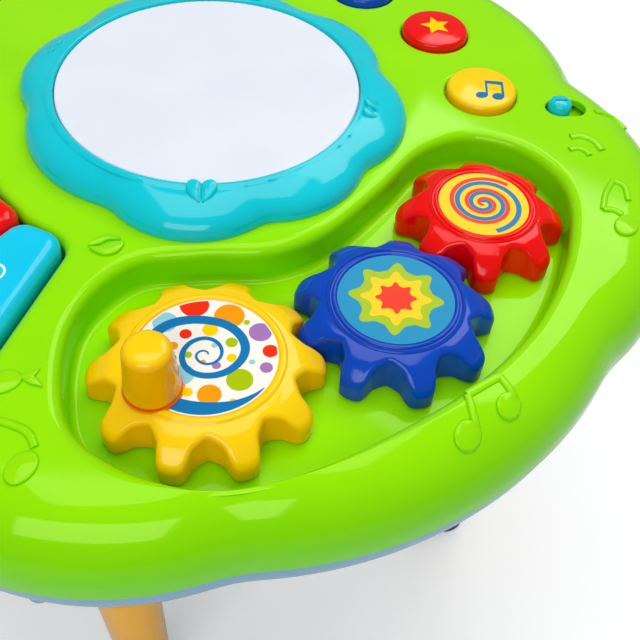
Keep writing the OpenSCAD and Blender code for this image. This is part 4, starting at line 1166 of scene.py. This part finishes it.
def buttons():
    """Domed round caps on stems, each with a flange under the deck."""
    for i, tint in enumerate((YELLOW, RED, BLUE)):
        name = f"button_{i + 1}"
        at, (low, high) = BUTTONS[i], box(name)
        top = high.z
        profile = [(3, low.z), (3, 292.6), (18.3, 292.7), (18.5, 294.5),
                   (18.2, 296.6), (16.5, 296.7)]
        profile += arc_profile(16.5, top - 0.8, 2.4)
        profile += [(12.4, top - 0.5), (9, top - 0.2), (4, top)]
        placed(turned_form(name + "_cap", at, profile, 96, 40), tint, name,
               [name])
    top = box("button_1")[1].z
    print_low, print_top = top - 0.35, top + 0.02
    at, stems_up = BUTTONS[0], (0.5736, 0.8192)
    note_print("button_1_note", at + Vector((-5.1, -6.0)),
               at + Vector((1.1, -10.4)), stems_up, top, INK_BLUE,
               "button_1", 1.05)
    at = BUTTONS[1]
    star = [at + polar(7.6 if k % 2 == 0 else 3.6, 36 * k)
            for k in range(10)]
    placed(prism("button_2_star", star, print_low, print_top), INK_YELLOW,
           "button_2")
    at = BUTTONS[2]
    placed(flat_ring("button_3_ring", at, 7.5, 5.8, print_low, print_top),
           INK_WHITE, "button_3")
    placed(prism("button_3_dot", circle(at, 2.4, 40), print_low, print_top),
           INK_WHITE, "button_3")


def slide_switch():
    """A round grip with three ridges on a shutter that hides the slot."""
    low, high = box("slide_switch")
    shutter = prism("switch_shutter", box_outline((0, 0), (27.4, 15.4), 1.5),
                    291.8, 293.8)
    set_down(shutter, SWITCH, SWITCH_ANGLE, smooth=40)
    placed(shutter, LIME, "switch")
    loops = []
    for z, inset in ((293.5, 0.3), (299.0, 0), (302.2, 0.2), (303.2, 0.8),
                     (303.7, 1.5), (high.z, 2.6)):
        loops.append(lifted(grown(stadium(Vector((0, 0)), 90, 11, 11.0, 12),
                                  -inset), z))
    grip = lofted("s", loops, 40)
    ridges = [ribbon("s", [Vector((x, -3.4)), Vector((x, 3.4))], [0.9] * 2,
                     high.z - 0.4, high.z - 0.05) for x in (-1.8, 0, 1.8)]
    tongue = prism("s", box_outline((0, 0), (3, 3), 0.4), low.z, 292.4)
    piece = joined("switch_grip", [grip, tongue, *ridges])
    set_down(piece, SWITCH, SWITCH_ANGLE, smooth=40)
    placed(piece, CYAN, "switch", ["slide_switch"])


# ---------------------------------------------------------------- roller
def on_axle(name, profile):
    """A form turned about the roller's axle from (radius, x) pairs."""
    turns = [2 * math.pi * k / 72 for k in range(72)]
    return lofted(name, [[Vector((x, ROLLER.y + r * math.cos(turn),
                                  ROLLER.z + r * math.sin(turn)))
                          for turn in turns] for r, x in profile], 40)


def roller():
    """Five rounded barrels side by side on one axle."""
    length, ribs, radius = ROLLER_LENGTH, 5, 18.0
    pitch = length / ribs
    profile = [(2.6, 0.0)]
    for k in range(ribs):
        for share in (0.0, 0.03, 0.08, 0.16, 0.3, 0.5, 0.7, 0.84, 0.92, 0.97,
                      1.0):
            bulge = 1 - abs(2 * share - 1) ** 4
            profile.append((radius - 2.6 + 2.6 * bulge,
                            pitch * (k + share * 0.96 + 0.02)))
    profile.append((2.6, length))
    placed(on_axle("roller_barrel", [(r, x - length / 2 + ROLLER.x)
                                     for r, x in profile]),
           RED, "roller", ["roller"])
    for k, ink in enumerate((YELLOW, BLUE, YELLOW, BLUE)):
        x = ROLLER.x - length / 2 + pitch * (k + 1)
        band = [(14.8, x - 0.9), (16.4, x - 0.9), (16.9, x - 0.4),
                (16.9, x + 0.4), (16.4, x + 0.9), (14.8, x + 0.9)]
        placed(on_axle(f"roller_band_{k + 1}", band), ink, "roller")


# ---------------------------------------------------------------- lower side
LEG_PLACES = [(-108, -116), (108, -116), (-108, 116), (108, 116)]
LEG_SOCKET_R = 14.1
SCREW_PLACES = [(0, 200), (0, -200), (180.5, 0), (-180.5, 0)] + [
    (sx * 142.2, sy * 150.2) for sx in (1, -1) for sy in (1, -1)]
SCREW_SINK_R = 3.8
DOOR = Vector((0, 62))
DOOR_HOLE = (75.4, 52.3)
SPEAKER = Vector((100, 30))
SPEAKER_R = 18
SLOT_PITCH = 5.4


def lower_casing():
    """The pale blue lower casing, with its recesses seen from below."""
    top, roll = PART_Z, 26.0

    def side(inset, z):
        return lifted(lobed(BASE_INSET + inset), z)
    # The hollow's floor, its rounded corner and its wall, then the edge
    loops = [side(WALL + roll, BASE_Z + WALL), side(WALL + 6, BASE_Z + 8),
             side(WALL, BASE_Z + roll), side(WALL, top),
             side(0.5, top), side(0, top - 0.5)]
    loops += [side(roll * inwards, BASE_Z + roll * up)
              for inwards, up in quarter(12)]
    shell = lofted("lower_casing", loops)
    tubs = [prism("tub", circle(p, LEG_SOCKET_R + 3, 64), BASE_Z + 2.5,
                  BASE_Z + 25) for p in LEG_PLACES]
    tubs += [prism("tub", circle(p, 5, 32), BASE_Z + 2.5, PART_Z)
             for p in SCREW_PLACES]
    cut_or_fused(shell, tubs, "UNION")
    low = BASE_Z - 2
    cutters = [prism("cutter", box_outline(DOOR, DOOR_HOLE, 3.0), low,
                     BASE_Z + 2)]
    cutters += [prism("cutter", circle(p, LEG_SOCKET_R, 64), low,
                      BASE_Z + 22.1) for p in LEG_PLACES]
    cutters += [prism("cutter", circle(p, SCREW_SINK_R, 32), low,
                      BASE_Z + 16) for p in SCREW_PLACES]
    for k in range(-3, 4):
        off = k * SLOT_PITCH
        reach = math.sqrt(SPEAKER_R ** 2 - off ** 2)
        cutters.append(prism("cutter", stadium(
            SPEAKER + Vector((0, off)), 0, 2 * reach, 2.4), low, BASE_Z + 5))
    cut_or_fused(shell, cutters, "DIFFERENCE")
    evened(shell)
    placed(shell, SKY, "table", ["base_shell"])
    ribs = [ribbon("r", [DOOR + Vector((x, y)) for x in (-30, -18)],
                   [1.4] * 2, BASE_Z, BASE_Z + 0.6)
            for y in (-10, -5, 0, 5, 10)]
    placed(joined("door_grip", ribs), SKY)


def leg_radius(z):
    """The leg tapers down to where its foot cap begins."""
    return 13.25 + (z - 14) * 0.0185


def legs():
    """Blow-moulded posts with two grooves, a swelling and rubber feet."""
    names = ("leg_front_left", "leg_front_right", "leg_back_left",
             "leg_back_right")
    for name, (x, y) in zip(names, LEG_PLACES):
        profile = [(10.8, 3.0), (10.8, 14.0), (13.0, 14.0), (13.25, 14.4)]
        profile += [(leg_radius(z), z) for z in (30, 60, 90, 120)]
        for ring_z in (150, 162):
            r = leg_radius(ring_z)
            profile += [(r, ring_z - 4), (r - 0.9, ring_z - 3.2),
                        (r - 0.9, ring_z + 3.2), (r, ring_z + 4)]
        profile += [(16.6, 200), (17.0, 222), (17.3, 228), (18.0, 232),
                    (18.5, 235), (18.5, 237.2), (18.2, 238), (14, 238),
                    (14, 257.6), (13.4, 259.4), (12, 260)]
        placed(turned_form(name + "_post", (x, y), profile, 96, 40), ORANGE,
               "table", [name])
    cap = [(6, 0.8), (8, 0.8), (8.4, 0), (12.6, 0), (13.6, 0.4),
           (14.4, 1.4), (14.5, 2.4), (14.5, 5), (14.0, 5.5), (14.0, 6.5),
           (14.5, 7), (14.5, 8.2), (14.0, 8.7), (14.0, 9.7), (14.5, 10.2),
           (14.5, 12.6), (14.1, 13.6), (13.4, 14), (10.8, 14)]
    feet = [turned_form("foot", place, cap, 96, 40) for place in LEG_PLACES]
    placed(joined("foot_caps", feet), RUBBER, "table", ["leg_feet"])


# ---------------------------------------------------------------- studio
def camera():
    """The photograph's view, from the front left and 50 degrees down."""
    pitch, roll, turn = (math.radians(v) for v in (50.10, -4.32, -35))
    ahead = Vector((0, math.cos(pitch), -math.sin(pitch)))
    right = Vector((1, 0, 0))
    down = ahead.cross(right)
    right, down = (right * math.cos(roll) + down * math.sin(roll),
                   down * math.cos(roll) - right * math.sin(roll))
    swing = Matrix.Rotation(turn, 3, "Z")
    place = Vector((-138.4, -305.6, 552)) * MM
    nothing_selected()
    bpy.ops.object.camera_add(location=place)
    made = bpy.context.object
    made.data.lens = 50.175
    made.data.sensor_width = 36
    made.data.clip_start = 0.01
    made.rotation_mode = "QUATERNION"
    made.rotation_quaternion = Matrix(
        (swing @ right, swing @ -down, swing @ -ahead)
    ).transposed().to_quaternion()
    bpy.context.scene.camera = made


def softbox(name, azimuth, elevation, distance, size, radiance):
    """A rectangular lamp, aimed at the deck from a direction, in metres."""
    aim = Vector((0, 0, 0.29))
    flat = polar(math.cos(math.radians(elevation)), azimuth)
    place = aim + distance * Vector((flat.x, flat.y,
                                     math.sin(math.radians(elevation))))
    nothing_selected()
    bpy.ops.object.light_add(type="AREA", location=place)
    made = bpy.context.object
    made.name = name
    made.data.shape = "RECTANGLE"
    made.data.size, made.data.size_y = size
    made.data.energy = radiance * math.pi * size[0] * size[1]
    made.rotation_mode = "QUATERNION"
    made.rotation_quaternion = (aim - place).to_track_quat("-Z", "Y")


def studio():
    """A pale paper floor, three softboxes and a white room."""
    nothing_selected()
    bpy.ops.mesh.primitive_plane_add(size=60)
    floor = bpy.context.object
    floor.name = "floor"
    paper = bpy.data.materials.new("backdrop_paper")
    paper.use_nodes = True
    tree = paper.node_tree
    matt = tree.nodes["Principled BSDF"]
    matt.inputs["Base Color"].default_value = linear("#F2F2F2")
    matt.inputs["Roughness"].default_value = 0.9
    # Lit paper: a camera sees it as bright as the white room behind it,
    # and still sees the table's shadow
    away = node(tree, "ShaderNodeVectorMath", [
        ("Vector", node(tree, "ShaderNodeTexCoord").outputs["Object"])],
        operation="LENGTH")
    lit = node(tree, "ShaderNodeMapRange",
               [("Value", away.outputs["Value"]), ("From Min", 0.3),
                ("From Max", 1.6), ("To Min", 0.25), ("To Max", 0.8)])
    seen = node(tree, "ShaderNodeMath", operation="MULTIPLY")
    tree.links.new(lit.outputs["Result"], seen.inputs[0])
    tree.links.new(node(tree, "ShaderNodeLightPath").outputs["Is Camera Ray"],
                   seen.inputs[1])
    tree.links.new(seen.outputs["Value"], matt.inputs["Emission Strength"])
    matt.inputs["Emission Color"].default_value = (1, 1, 1, 1)
    floor.data.materials.append(paper)
    # Azimuth, elevation, distance, size and radiance of each
    softbox("softbox_right", 18, 50, 1.4, (1.1, 0.6), 3.4)
    softbox("softbox_left", -132, 36, 1.4, (1.0, 0.6), 3.8)
    softbox("softbox_above", 60, 86, 1.5, (1.1, 1.1), 2.5)
    room_light, seen_white = 0.28, 1.0
    world = bpy.data.worlds.new("room")
    bpy.context.scene.world = world
    world.use_nodes = True
    tree = world.node_tree
    ray = node(tree, "ShaderNodeLightPath")
    seen = node(tree, "ShaderNodeMapRange",
                [("Value", ray.outputs["Is Camera Ray"]),
                 ("To Min", room_light), ("To Max", seen_white)])
    sky = tree.nodes["Background"]
    sky.inputs["Color"].default_value = (1, 1, 1, 1)
    tree.links.new(seen.outputs["Result"], sky.inputs["Strength"])
    bpy.context.scene.view_settings.view_transform = "Standard"


camera()
studio()
deck()
deck_reliefs()
drum_frame()
gears()
knob()
labels()
keys()
buttons()
slide_switch()
roller()
lower_casing()
legs()
